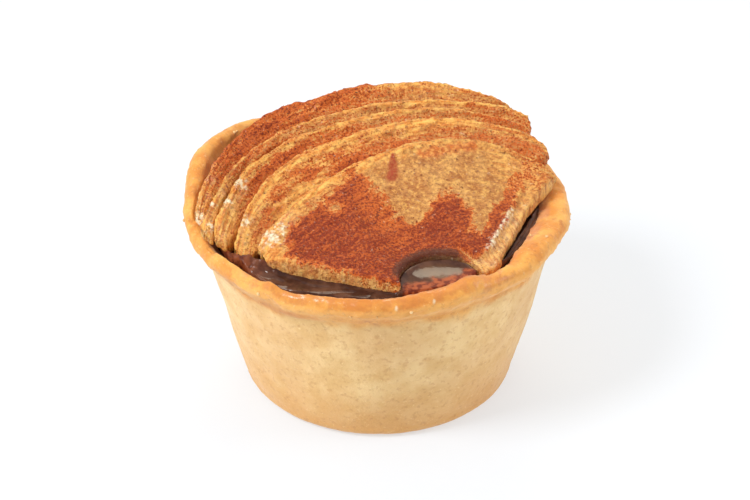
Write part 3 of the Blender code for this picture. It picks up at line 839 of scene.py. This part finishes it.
def turned_form_tree():
    """Turns a profile, given as points (radius, 0, height), round the Z axis."""
    tree = Group("GeometryNodeTree", "turned_form", {
        "Profile": "Geometry", "Steps": 360, "Rows": 2, "Material": "Material",
    }, {"Turned": "Geometry"})
    rows = tree.take("Rows")
    grid = tree.put("GeometryNodeMeshGrid", {
        "Size X": 1.0, "Size Y": 1.0, "Vertices X": tree.take("Steps") + 1.0, "Vertices Y": rows,
    })
    here = tree.put("GeometryNodeInputPosition")
    across, along = tree.put("ShaderNodeSeparateXYZ", {0: here}, (0, 1))
    angle = (across + 0.5) * math.tau
    row = tree.maths("ROUND", (along + 0.5) * (rows - 1.0))
    inputs = {"Geometry": tree.take("Profile"), "Value": here, "Index": row}
    point = tree.put("GeometryNodeSampleIndex", inputs, data_type="FLOAT_VECTOR", domain="POINT")
    radius, height = tree.put("ShaderNodeSeparateXYZ", {0: point}, (0, 2))
    x, y = (radius * tree.maths(operation, angle) for operation in ("COSINE", "SINE"))
    turned = tree.put("ShaderNodeCombineXYZ", {0: x, 1: y, 2: height})
    shaped = tree.put("GeometryNodeSetPosition", {"Geometry": grid, "Position": turned})
    closed = tree.put("GeometryNodeMergeByDistance", {"Geometry": shaped, "Distance": 2e-6})
    return tree.finish_piece(closed, "Turned")


def relief_tree():
    """Pushes a surface in and out along its normals by soft lumps, and by fibres that run
    along the piece's own fan coordinates."""
    tree = Group("GeometryNodeTree", "surface_relief", {
        "Piece": "Geometry", "Lump Height": 0.0002, "Lump Size": 0.003, "Grain Height": 0.0001,
        "Grain Size": 0.0009, "Fibre Height": 0.0, "Fibre Size": 0.0012, "Seed": 1.0,
        "Material": "Material",
    }, {"Finished": "Geometry"})
    here = tree.put("GeometryNodeInputPosition")
    fan = tree.put("GeometryNodeInputNamedAttribute", {"Name": "fan"}, data_type="FLOAT_VECTOR")
    along = tree.put("ShaderNodeVectorMath", {0: fan, 1: (0.16, 1.0, 1.0)}, operation="MULTIPLY")
    total = 0.0
    for source, label, detail in ((here, "Lump", 2.0), (here, "Grain", 3.0), (along, "Fibre", 2.0)):
        wave = tree.put("ShaderNodeTexNoise", {
            "Vector": source, "W": tree.take("Seed"), "Detail": detail,
            "Scale": tree.maths("DIVIDE", 1.0, tree.take(label + " Size")),
        }, noise_dimensions="4D")
        total = tree.maths("ADD", total, (wave - 0.5) * tree.take(label + " Height") * 2.0)
    loose = tree.put("GeometryNodeInputNamedAttribute", {"Name": "relief"}, data_type="FLOAT")
    normal = tree.put("GeometryNodeInputNormal")
    offset = tree.put("ShaderNodeVectorMath", {0: normal, "Scale": total * loose}, operation="SCALE")
    moved = tree.put("GeometryNodeSetPosition", {"Geometry": tree.take("Piece"), "Offset": offset})
    return tree.finish_piece(moved, "Finished")


def scatter_tree():
    """Strews small uneven grains over a surface, thickest where its named mask is high."""
    tree = Group("GeometryNodeTree", "strewn_grains", {
        "Ground": "Geometry", "Mask": "String", "Density": 1e6, "Smallest": 0.0001,
        "Largest": 0.0003, "Roundness": 1, "Seed": 1, "Material": "Material",
    }, {"Grains": "Geometry"})
    ground, label, most, low, high, roundness, seed = (tree.take(name) for name in (
        "Ground", "Mask", "Density", "Smallest", "Largest", "Roundness", "Seed",
    ))
    mask = tree.put("GeometryNodeInputNamedAttribute", {"Name": label}, data_type="FLOAT")
    inputs = {"Mesh": ground, "Density": tree.maths("POWER", mask, 2.0) * most, "Seed": seed}
    points = tree.put("GeometryNodeDistributePointsOnFaces", inputs)
    ball = tree.put("GeometryNodeMeshIcoSphere", {"Radius": 1.0, "Subdivisions": roundness})
    uneven = tree.put("ShaderNodeTexNoise", {"Scale": 1.3, "Detail": 2.0}) + 0.5
    here = tree.put("GeometryNodeInputPosition")
    dented = tree.put("ShaderNodeVectorMath", {0: here, "Scale": uneven}, operation="SCALE")
    grain = tree.put("GeometryNodeSetPosition", {"Geometry": ball, "Position": dented})
    size = tree.put("FunctionNodeRandomValue", {2: low, 3: high, "Seed": seed}, 1, data_type="FLOAT")
    turn = tree.put("FunctionNodeRandomValue", {
        1: (6.283, 6.283, 6.283), "Seed": seed,
    }, data_type="FLOAT_VECTOR")
    return tree.finish_piece(tree.put("GeometryNodeInstanceOnPoints", {
        "Points": points, "Instance": grain, "Rotation": turn, "Scale": size,
    }), "Grains")


def grow(piece, tree, values):
    """Runs a geometry tree on a piece and keeps the result as its plain mesh."""
    modifier = piece.modifiers.new(tree.name, "NODES")
    modifier.node_group = tree
    for socket in tree.interface.items_tree:
        if socket.item_type == "SOCKET" and socket.in_out == "INPUT" and socket.name in values:
            modifier[socket.identifier] = values[socket.name]
    bpy.context.view_layer.update()
    graph = bpy.context.evaluated_depsgraph_get()
    mesh = bpy.data.meshes.new_from_object(
        piece.evaluated_get(graph), preserve_all_data_layers=True, depsgraph=graph
    )
    piece.modifiers.clear()
    old, piece.data = piece.data, mesh
    bpy.data.meshes.remove(old)
    mesh.name = piece.name
    return piece


# ---------------------------------------------------------------- meshes


def new_piece(name, mesh):
    piece = bpy.data.objects.new(name, mesh)
    bpy.context.scene.collection.objects.link(piece)
    return piece


def mesh_from(name, points, faces):
    mesh = bpy.data.meshes.new(name)
    mesh.from_pydata(points, [], faces)
    mesh.validate()
    return mesh


def outward(mesh):
    """Faces all pointing out of a closed mesh, with quads kept."""
    work = bmesh.new()
    work.from_mesh(mesh)
    bmesh.ops.recalc_face_normals(work, faces=work.faces[:])
    work.to_mesh(mesh)
    work.free()
    mesh.shade_smooth()
    return mesh


def give(mesh, name, values, kind="FLOAT"):
    """A named value for each vertex."""
    layer = mesh.attributes.new(name, kind, "POINT")
    if kind == "FLOAT":
        layer.data.foreach_set("value", values)
    else:
        layer.data.foreach_set("vector", [part for value in values for part in value])


def give_masks(mesh, names, rows):
    """A named value for each place in the vertices' rows."""
    for name, values in zip(names, zip(*rows)):
        give(mesh, name, values)


def closed_mesh(name, points, rings):
    """Quads between rings of vertex numbers, with both ends closed."""
    faces = []
    for first, second in zip(rings, rings[1:]):
        count = len(first)
        for step in range(count):
            after = (step + 1) % count
            faces.append((first[step], first[after], second[after], second[step]))
    return mesh_from(name, points, faces + [tuple(rings[0]), tuple(rings[-1])])


def raise_relief(piece, relief, material, seed, **waves):
    """Fine relief from waves that are each (height, size)."""
    values = {"Seed": seed, "Material": material}
    for label, (height, size) in waves.items():
        values.update({label + " Height": height, label + " Size": size})
    grow(piece, relief, values)
    piece.data.shade_smooth()


def settle(piece, node):
    """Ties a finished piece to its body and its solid."""
    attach(piece, "root")
    if node:
        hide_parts(node)
    return piece


# ---------------------------------------------------------------- dressed shell


def fine_profile():
    """(radius, height) points of the shell's section, close together."""
    points = [((BASE_RADIUS - FOOT_ROUNDING) * n / 6.0, 0.0) for n in range(6)]
    for step in range(8):
        turn = math.radians(90.0 * step / 8.0)
        radius = BASE_RADIUS - FOOT_ROUNDING * (1.0 - math.sin(turn))
        points.append((radius, FOOT_ROUNDING * (1.0 - math.cos(turn))))
    points += [(wall_radius(z), z) for z in spaced(FOOT_ROUNDING, CREASE_HEIGHT, WALL_ROWS)]
    for degrees in range(-58, 176, 9):
        turn = math.radians(degrees)
        radius = LIP_RADIUS + LIP_HALF_WIDTH * math.cos(turn)
        points.append((radius, LIP_HEIGHT + LIP_HALF_HEIGHT * math.sin(turn)))
    points += [(inner_radius(z), z) for z in spaced(HOLLOW_ROWS[0], HOLLOW_ROWS[-1], HOLLOW_FACES)]
    for step in range(5):
        turn = math.radians(22.5 * step)
        radius = inner_radius(FLOOR_HEIGHT) - FLOOR_ROUNDING * (1.0 - math.cos(turn))
        points.append((radius, FLOOR_HEIGHT + FLOOR_ROUNDING * (1.0 - math.sin(turn))))
    points.append((0.0, FLOOR_HEIGHT))
    return points


def shell_masks(radius, z, angle):
    """How browned a place is as lip, as inside and as foot."""
    degrees = math.degrees(angle)
    ragged = 0.0012 * waviness(*polar(radius, angle), z, 0.004, 12.5)
    lip = smooth(z + ragged, CREASE_HEIGHT - 0.0034, CREASE_HEIGHT + 0.0014)
    face = band(z, (CREASE_HEIGHT + 0.0002, CREASE_HEIGHT + 0.0016),
                (LIP_HEIGHT - 0.0002, LIP_HEIGHT + 0.0012))
    face *= 1.0 - bell(degrees, *FACE_NOT_MADE_PALER)
    lip += 0.5 * face * smooth(radius, LIP_RADIUS, LIP_RADIUS + 0.0006)
    inside = 0.0
    if radius < (wall_radius(z) + inner_radius(z)) * 0.5 and z > FLOOR_HEIGHT:
        reach = 0.0020 * bell(degrees, *SLOPING_RIM)
        inside = 1.0 - smooth(z + ragged, LIP_HEIGHT - 0.001 + reach, LIP_HEIGHT + 0.0012 + reach)
    foot = 1.0 - smooth(z + ragged * 1.5, 0.0005, 0.0170)
    return lip, inside, foot


def rim_glaze(x, y, z):
    """How wet the rim's top is, and where highlights are painted on its crumbs."""
    radius, degrees = math.hypot(x, y), math.degrees(math.atan2(y, x))
    turn = abs(degrees - GLAZED_RIM[0]) / GLAZED_RIM[1]
    top = smooth(z, LIP_HEIGHT - 0.0005, LIP_HEIGHT + 0.0010)
    across = 1.0 - 0.45 * smooth(radius, LIP_RADIUS, LIP_RADIUS + 0.0016)
    painted_gleam = max(spot(x - cx, y - cy, size) for cx, cy, size in GLINTING_RIM_CRUMBS)
    painted_gleam *= smooth(z, LIP_HEIGHT, LIP_HEIGHT + 0.0008)
    return top * (1.0 - smooth(turn, 0.6, 1.1)) * across, painted_gleam


def rim_reach(angle, sloping=1.0, thin=1.0):
    """How far the rim's inner side is moved out, or in where it is negative."""
    degrees = math.degrees(angle)
    inwards = SLOPING_REACH * sloping * bell(degrees, *SLOPING_RIM)
    return THINNEST_REACH * thin * bell(degrees, *THINNEST_RIM) - inwards


def soft_shell_point(radius, z, angle):
    """The solid shell's point, but with the lip giving way softly under the slices."""
    radius += spread(radius, z, angle)
    inner = (1.0 - smooth(radius, LIP_RADIUS - 0.0026, LIP_RADIUS + 0.0002)) * smooth(z, *UPPER_RIM)
    sloping = inner * (1.0 - smooth(z, LIP_HEIGHT + 0.0006, LIP_HEIGHT + 0.0020))
    thin = (1.0 - smooth(radius, LIP_RADIUS - 0.0010, LIP_RADIUS + 0.0012)) * smooth(z, *UPPER_RIM)
    radius += rim_reach(angle, sloping, thin)
    x, y = polar(radius, angle)
    sag = LOW_RIM_DROP * bell(math.degrees(angle), *LOW_RIM) * smooth(z, 0.0280, 0.0340)
    height = z + lift(z, angle) - sag
    if z > CREASE_HEIGHT - LIP_BLEND and radius > PRESSED_INSIDE:
        limit = under_slices(x, y) - GAP
        share = min(1.0, max(0.0, 0.5 + 0.5 * (limit - height) / PRESS_BLEND))
        height = limit + (height - limit) * share - PRESS_BLEND * share * (1.0 - share)
    return Vector((x, y, height))


def build_shell(material, turned_form, relief):
    profile = fine_profile()
    edges = [(n, n + 1) for n in range(len(profile) - 1)]
    mesh = bpy.data.meshes.new("crust_shell")
    mesh.from_pydata([(radius, 0.0, z) for radius, z in profile], edges, [])
    piece = grow(new_piece("crust_shell", mesh), turned_form, {
        "Steps": SHELL_TURNS, "Rows": len(profile), "Material": material,
    })
    masks = []
    for vertex in piece.data.vertices:
        x, y, z = vertex.co
        radius, angle = math.hypot(x, y), math.atan2(y, x)
        lip, inside, foot = shell_masks(radius, z, angle)
        glaze, painted_gleam = rim_glaze(x, y, z)
        hidden = radius < BASE_RADIUS - FOOT_ROUNDING * 0.5 and z < FLOOR_HEIGHT + FLOOR_ROUNDING
        loose = 0.0 if hidden else 0.5 + 1.3 * lip + 1.0 * inside * lip
        masks.append((lip, inside, foot, loose, glaze, painted_gleam))
        vertex.co = soft_shell_point(radius, z, angle)
        vertex.co.z += CRUMB_RISE * painted_gleam
        for lump_x, lump_y, size, rise in RIM_LUMPS:
            near = spot(x - lump_x, y - lump_y, size)
            vertex.co.z += rise * near * smooth(z, CREASE_HEIGHT, LIP_HEIGHT)
    give_masks(piece.data, ("lip", "inside", "foot", "relief", "glaze", "painted_gleam"), masks)
    outward(piece.data)
    raise_relief(piece, relief, material, 3.0, Lump=(0.00022, 0.0032), Grain=(0.00017, 0.0011))
    return settle(piece, "crust")


# ---------------------------------------------------------------- filling


def build_fine_filling(material, relief):
    """The filling: a plain side and floor, and a finely lumpy top."""
    points, rings = [], []

    def add_ring(place):
        rings.append(range(len(points), len(points) + FILLING_TURNS))
        for step in range(FILLING_TURNS):
            points.append(place(2.0 * math.pi * step / FILLING_TURNS))

    def side(inset, z):
        height = z if z > FILLING_LOWEST_ROW else FLOOR_HEIGHT
        return lambda angle: (*polar(hollow_radius(height, angle) - inset, angle), z)

    def top(share):
        def place(angle):
            brim = hollow_radius(FILLING_LEVEL, angle) - SIDE_CLEARANCE
            x, y = polar(brim * share, angle)
            return x, y, filling_height(x, y)
        return place

    bottom = FLOOR_HEIGHT + GAP
    add_ring(lambda angle: (*polar(0.004, angle), bottom))
    for step in range(3):
        turn = math.radians(45.0 * (2 - step))
        inset = SIDE_CLEARANCE + FLOOR_ROUNDING * (1.0 - math.cos(turn))
        add_ring(side(inset, bottom + FLOOR_ROUNDING * (1.0 - math.sin(turn))))
    for z in FILLING_ROWS:
        add_ring(side(SIDE_CLEARANCE, z))
    first_top = len(rings)
    for row in range(FILLING_TOP_ROWS):
        add_ring(top(1.0 - row / (FILLING_TOP_ROWS + 1.0)))
    mesh = closed_mesh("stewed_filling", points, rings)
    start = rings[first_top][0]
    give(mesh, "relief", [1.0 if n >= start else 0.0 for n in range(len(points))])
    piece = new_piece("stewed_filling", outward(mesh))
    raise_relief(piece, relief, material, 7.0, Lump=(0.0006, 0.0038), Grain=(0.00018, 0.0012))
    return settle(piece, "filling")


# ---------------------------------------------------------------- dressed slices


def fine_section(length, thickness, spans):
    """A slab's rounded section as (distance from the front edge, depth below the top)."""
    rounding = min(CORNER_ROUNDING, thickness * 0.45, length * 0.3)

    def corner(place, depth, start):
        made = []
        for step in range(CORNER_FACES + 1):
            turn = math.radians(start + 90.0 * step / CORNER_FACES)
            made.append((place + rounding * math.cos(turn), depth - rounding * math.sin(turn)))
        return made

    run = length - 2.0 * rounding
    inner = [rounding + run * n / spans for n in range(1, spans)]
    loop = [(place, 0.0) for place in inner]
    loop += reversed(corner(length - rounding, rounding, 0.0))
    loop += reversed(corner(length - rounding, thickness - rounding, -90.0))
    loop += [(place, thickness) for place in reversed(inner)]
    loop += reversed(corner(rounding, thickness - rounding, -180.0))
    loop += reversed(corner(rounding, rounding, 90.0))
    return loop


def near_line(s, w, line):
    """Distance from a place to a straight line between two places."""
    (s0, w0), (s1, w1) = line
    ds, dw = s1 - s0, w1 - w0
    share = min(1.0, max(0.0, ((s - s0) * ds + (w - w0) * dw) / (ds * ds + dw * dw)))
    return math.hypot(s - s0 - share * ds, w - w0 - share * dw)


def inside_patch(s, w, outline):
    """Distance inside an outline, negative outside it."""
    within, nearest = False, 1.0
    for n, (s0, w0) in enumerate(outline):
        s1, w1 = outline[(n + 1) % len(outline)]
        nearest = min(nearest, near_line(s, w, ((s0, w0), (s1, w1))))
        if (w0 > w) != (w1 > w) and s < s0 + (s1 - s0) * (w - w0) / (w1 - w0):
            within = not within
    return nearest if within else -nearest


def between(table, s, column):
    """A value read from a table along s, with smooth steps between its rows."""
    for row, after in zip(table, table[1:]):
        if s <= after[0]:
            share = smooth(s, row[0], after[0])
            return row[column] + (after[column] - row[column]) * share
    return table[-1][column]


def leg_trim(index, s):
    """How far a slice's front edge stands back from its plain place."""
    if index:
        return 0.0
    return LEG_TRIM * band(s, *LEG_TRIMMED)


def right_leg(s, w):
    """1 on the sloping strip along the front slice's right cut side, 0 off it."""
    away = (w - leg_w(s)) * LEG_SQUARE
    return (1.0 - smooth(away, LEG_BEVEL * 0.6, LEG_BEVEL)) * band(s, *LEG_STRIP)


def front_dusting(s, w):
    """(cinnamon, paleness, drip) on the front slice's upper face."""
    crest = crest_w(slice_at(0), s)
    ragged = 0.0010 * waviness(s, w, 0.0, 0.0021, 4.4) + 0.0006 * waviness(s, w, 0.0, 0.0008, 9.1)
    patch = smooth(inside_patch(s, w, DUSTED_PATCH) + ragged, -0.0014, 0.0018)
    bare = spot(s - BARE_SPOT[0], w - BARE_SPOT[1], BARE_SPOT_SIZE)
    thin = 0.24 * bell(s * 1000.0, *THIN_MIDDLE) * smooth(w, -0.0260, -0.0120)
    spice = 0.12 + (0.92 - thin) * patch * (1.0 - 0.75 * bare)
    spice = max(spice, 0.40 * smooth(s, 0.023, 0.029))
    if s > CORE_CENTRE[0] + CORE_RADIUS * 0.6:
        away = (w - leg_w(s)) * LEG_SQUARE
        dust = band(away + ragged, *LEG_DUST)
        spice = max(spice, 0.98 * dust * (1.0 - 0.45 * smooth(s, 0.017, 0.026)))
    pale = 1.0 - smooth(crest - w + ragged, 0.0010, 0.0042)
    pale *= 1.0 - smooth(s, 0.0, 0.020) * 0.5
    pale = max(pale, 0.8 * smooth(-s, 0.0240, 0.0275), 0.5 * smooth(s, 0.0185, 0.0250))
    share = min(1.0, max(0.0, (DRIP[0][1] - w) / (DRIP[0][1] - DRIP[1][1])))
    width = DRIP_WIDTH * (0.45 + 0.65 * share)
    drip = 1.0 - smooth(near_line(s, w, DRIP) + ragged * 0.2, width * 0.7, width * 1.5)
    return spice, pale, drip


def fan_dusting(index, name, s, w):
    """(cinnamon, paleness, drip) on the slices behind the front one."""
    before, crest = crest_w(slice_at(index - 1), s), crest_w(slice_at(index), s)
    hidden = 0.9 * slice_at(index - 1)["thickness"]
    room = max(0.0012, crest - before - hidden)
    ragged = 0.22 * waviness(s * 0.35, w, 0.0, 0.0016, 2.0 + index)
    groove = smooth((crest - w) / room + ragged, 0.15, 0.85)
    low, high = between(DUSTING[name], s, 1), between(DUSTING[name], s, 2)
    spice = high + (low - high) * groove
    end = smooth(-s, 0.0250, 0.0300 + 0.0010 * index)
    pale = max(min(1.0, 1.25 * (1.0 - groove) * (1.0 - high)), 0.80 * end)
    spice *= 1.0 - 0.35 * end
    if index == 1:
        margin = 1.0 - smooth(w - before + 0.003 * ragged, 0.0052, 0.0066)
        margin *= band(-s, *PALE_MARGIN)
        pale = max(pale, 0.9 * margin)
        spice *= 1.0 - 0.8 * margin
    return spice, pale, 0.0


def stained(s, w):
    """1 along the faint orange streak under the front slice's crest."""
    ragged = 0.0007 * waviness(s, w, 0.0, 0.0014, 4.4)
    return 1.0 - smooth(near_line(s, w, STREAK) + ragged, STREAK_WIDTH * 0.3, STREAK_WIDTH * 1.7)


def gleaming(index, name, s, w):
    """1 where painted highlights of glaze drops lie."""
    most = max(spot(s - x, w - y, size) for x, y, size in PAINTED_GLEAMS[name])
    if index == 0:
        most = max(most, 0.85 * spot(near_line(s, w, LEG_PAINTED_GLEAM), 0.0, LEG_PAINTED_GLEAM_WIDTH))
    return most


def wetness(index, s, w, crest):
    """How thick the glaze lies: at the slices' left ends and along the right cut side."""
    end = smooth(crest_offset(slice_at(index), s)[0], -0.60, -0.80) if s < 0.0 else 0.0
    end *= 1.0 - smooth(crest - w, 0.003, 0.006)
    return max(0.12, end, right_leg(s, w) if index == 0 else 0.0)


def slice_marks(index, name, s, w, place, depth):
    """What a place on a slice is marked with, in the order of SLICE_MASKS."""
    cut = soak_and_shade = stain = 0.0
    if index == 0:
        spice, pale, drip = front_dusting(s, w)
        below = smooth(depth, CORNER_ROUNDING * 0.3, CORNER_ROUNDING)
        cut = max(right_leg(s, w), below * (1.0 - smooth(place, 0.0004, 0.0010)))
        spice *= 1.0 - (0.80 if s > CORE_CENTRE[0] else 0.55) * cut
        if s < CORE_CENTRE[0]:
            spice = max(spice, 0.44 * cut * smooth(s, -0.0170, -0.0060))
        # Round the core notch the slice is darkened: syrup soak and painted shade from the notch's wall
        soak_and_shade = smooth(notch_depth(s, w), -0.0026, -0.0002) * smooth(-s, -0.0072, -0.0030)
        soak_and_shade *= smooth(w, CORE_CENTRE[1] + 0.0010, CORE_CENTRE[1] + 0.0050)
        stain = stained(s, w)
    else:
        spice, pale, drip = fan_dusting(index, name, s, w)
    wet = wetness(index, s, w, crest_w(slice_at(index), s))
    return spice, pale, drip, cut, wet, gleaming(index, name, s, w), soak_and_shade, stain


def fine_slice(index, name, material, relief):
    slice_ = SLICES[name]
    left, right = slice_span(slice_)
    spans = FRONT_FACES if index == 0 else FACES_ACROSS
    points, fan, masks, rings = [], [], [], []
    for cut in range(SLICE_CUTS + 1):
        s = left + (right - left) * (0.5 - 0.5 * math.cos(math.pi * cut / SLICE_CUTS))
        offset = abs(crest_offset(slice_, s)[0])
        end = max(0.0, (offset - 1.0 + END_ROUNDING) / END_ROUNDING)
        fullness = math.sqrt(max(0.0, 1.0 - END_FULLNESS * end**2))
        front, crest = front_w(index, s) + leg_trim(index, s), crest_w(slice_, s)
        loop = fine_section(crest - front, slice_["thickness"], spans)
        rings.append(range(len(points), len(points) + len(loop)))
        for place, depth in loop:
            w = front + place
            top, bottom = top_height(index, s, w), bottom_height(index, s, w)
            if index == 0:
                top -= LEG_BEVEL_DROP * right_leg(s, w)
            bottom -= CONTACT
            share = 0.5 + (depth / slice_["thickness"] - 0.5) * fullness
            x, y = from_fan(s, w)
            points.append((x, y, top + (bottom - top) * share))
            fan.append((s, crest - w, depth))
            near_crest = 1.0 - smooth(crest - w, 0.0012, 0.0050)
            loose = 0.75 + 0.85 * near_crest + (0.25 if index else 0.0)
            masks.append((*slice_marks(index, name, s, w, place, depth), loose))
    mesh = closed_mesh(name + "_apple", points, rings)
    give(mesh, "fan", fan, "FLOAT_VECTOR")
    give_masks(mesh, (*SLICE_MASKS, "relief"), masks)
    piece = new_piece(name + "_apple", outward(mesh))
    raise_relief(piece, relief, material, 11.0 + index, Lump=(0.00034, 0.0034),
                 Grain=(0.00028, 0.0009), Fibre=(0.00034, 0.0013))
    return settle(piece, name)


# ---------------------------------------------------------------- syrup


def syrup_inner(angle, outer):
    """Radius at which syrup that lies along the shell at an angle meets the front slice."""
    radius = outer
    while radius > 0.018:
        s, w = to_fan(*polar(radius, angle))
        if w > leg_w(s) + 0.0003:
            return radius
        radius -= 0.0002
    return radius


def notch_depth(s, w):
    """Distance from the core notch's edge, towards its middle."""
    return CORE_RADIUS - math.hypot(s - CORE_CENTRE[0], max(0.0, w - CORE_CENTRE[1]))


def syrup_height(angle, radius, inner, outer):
    """Height of the syrup: it stands higher in the core notch and creeps up its edges."""
    x, y = polar(radius, angle)
    s, w = to_fan(x, y)
    notch = smooth(notch_depth(s, w), -0.0008, 0.0004)
    edge = math.exp(-max(0.0, notch_depth(s, w)) / 0.0024)
    share = (radius - inner) / max(0.0004, outer - inner)
    film = waviness(x * 0.25, share * 0.0035, 0.0, 0.0020, 6.6)
    gap = SYRUP_LEVEL + SYRUP_CREEP * math.exp(-(radius - inner) / 0.0009)
    gap += 0.00020 * (1.0 - abs(film)) ** 3
    heap = bell(math.degrees(angle), *HEAP_ANGLE) * math.exp(-(radius - inner) / 0.0022)
    gap += (HEAP + 0.0006 * waviness(x, y, 0.0, 0.0011, 8.2)) * heap
    level = gap + (NOTCH_SYRUP_LEVEL + NOTCH_CREEP * edge - gap) * notch
    return level + 0.0001 * math.exp(-(outer - radius) / 0.0012)


def build_syrup(name, material, first, last):
    """Set syrup between the shell and the front slice, from one angle to another."""
    points, rings, masks = [], [], []
    for degrees in spaced(first, last, SYRUP_TURNS):
        angle = math.radians(degrees)
        outer = hollow_radius(SYRUP_BRIM, angle) - 0.0001 + max(0.0, rim_reach(angle))
        inner = min(syrup_inner(angle, outer), outer - 0.0003)
        across = spaced(inner, outer, SYRUP_ROWS)
        loop = [(radius, syrup_height(angle, radius, inner, outer)) for radius in across]
        loop += [(radius, SYRUP_LEVEL - SYRUP_DEPTH) for radius in reversed(across)]
        rings.append(range(len(points), len(points) + len(loop)))
        for radius, z in loop:
            x, y = polar(radius, angle)
            points.append((x, y, z))
            depth = notch_depth(*to_fan(x, y))
            ragged = 0.12 * waviness(x, y, 0.0, 0.0016, 2.9)
            share = (radius - inner) / max(0.0004, outer - inner)
            notch = smooth(depth, 0.0, 0.0010)
            left = 0.45 * smooth(math.degrees(angle) + 20.0 * ragged, -126.0, -138.0)
            fruit = max(left, notch * smooth(share + ragged, 0.56, 0.78))
            masks.append((fruit, 1.0 - notch * smooth(depth, 0.0008, 0.0022)))
    mesh = closed_mesh(name, points, rings)
    give_masks(mesh, ("fruit", "deep"), masks)
    mesh.materials.append(material)
    settle(new_piece(name, outward(mesh)), None)


# ---------------------------------------------------------------- loose grains


def copy_ground(name, pieces):
    """A copy of pieces to strew grains over."""
    work = bmesh.new()
    for piece in pieces:
        work.from_mesh(piece.data)
    mesh = bpy.data.meshes.new(name)
    work.to_mesh(mesh)
    work.free()
    return new_piece(name, mesh)


def strew(name, grounds, scatter, values):
    piece = grow(copy_ground(name, grounds), scatter, values)
    piece.data.shade_smooth()
    settle(piece, None)


# ---------------------------------------------------------------- studio


def place_at(name, data, place, target):
    """Puts a lamp or a camera at a place, looking at a target."""
    holder = bpy.data.objects.new(name, data)
    holder.location = place
    holder.rotation_euler = (Vector(target) - Vector(place)).to_track_quat("-Z", "Y").to_euler()
    bpy.context.scene.collection.objects.link(holder)
    return holder


def build_studio():
    scene = bpy.context.scene
    scene.view_settings.view_transform = "Standard"
    world = bpy.data.worlds.new("studio_surround")
    world.use_nodes = True
    tree = Tree(world.node_tree)
    direction = tree.put("ShaderNodeTexCoord", out="Generated")
    backwards = tree.put("ShaderNodeSeparateXYZ", {0: direction}, 1)
    strength = backwards.ramp(0.1, -0.9, WORLD_LIGHT, WORLD_LIGHT_FRONT)
    tree.fill(world.node_tree.nodes["Background"], {"Strength": strength, "Color": WHITE})
    scene.world = world
    floor = mesh_from("studio_floor", [(-3, -3, 0), (3, -3, 0), (3, 3, 0), (-3, 3, 0)], [(0, 1, 2, 3)])
    floor.materials.append(floor_material())
    new_piece("studio_floor", floor)
    for name, (place, width, height, power, colour) in LAMPS.items():
        light = bpy.data.lights.new(name, "AREA")
        light.shape = "ELLIPSE"
        light.size, light.size_y, light.energy, light.color = width, height, power, colour
        place_at(name, light, place, LAMP_TARGET)


def build_camera():
    """The photograph's view: 33.8 degrees down, from 0.43 m."""
    camera = bpy.data.cameras.new("camera")
    camera.lens, camera.sensor_width = 100.0, 36.0
    camera.shift_x, camera.shift_y = -0.0045, 0.0447
    camera.clip_start, camera.clip_end = 0.01, 20.0
    down, target = math.radians(CAMERA_DOWN), Vector(CAMERA_TARGET)
    place = target + Vector((0.0, -math.cos(down), math.sin(down))) * CAMERA_AWAY
    bpy.context.scene.camera = place_at("camera", camera, place, target)


def main():
    build_camera()
    build_studio()
    mottling, grain = mottling_group(), crumb_group()
    turned_form, relief, scatter = turned_form_tree(), relief_tree(), scatter_tree()
    shell = build_shell(shortcrust_material(mottling, grain), turned_form, relief)
    build_fine_filling(stewed_material(mottling, grain), relief)
    apple = apple_material(mottling, grain)
    slices = [fine_slice(index, name, apple, relief) for index, name in enumerate(SLICES)]
    syrup = syrup_material()
    build_syrup("syrup_front", syrup, *FRONT_SYRUP)
    build_syrup("syrup_right", syrup, *RIGHT_SYRUP)
    crumb = grain_material("loose_pastry_crumbs", srgb(244, 208, 150), srgb(220, 164, 96), 0.55)
    strew("rim_crumbs", [shell], scatter, {
        "Mask": "lip", "Density": 12000.0, "Smallest": 0.00014, "Largest": 0.00046,
        "Roundness": 2, "Seed": 8, "Material": crumb,
    })
    cinnamon = grain_material("cinnamon_grains", srgb(132, 48, 22), srgb(92, 34, 18), 0.6)
    strew("cinnamon_grains", slices, scatter, {
        "Mask": "spice", "Density": 1.3e6, "Smallest": 0.00006, "Largest": 0.00016,
        "Roundness": 1, "Seed": 5, "Material": cinnamon,
    })


main()
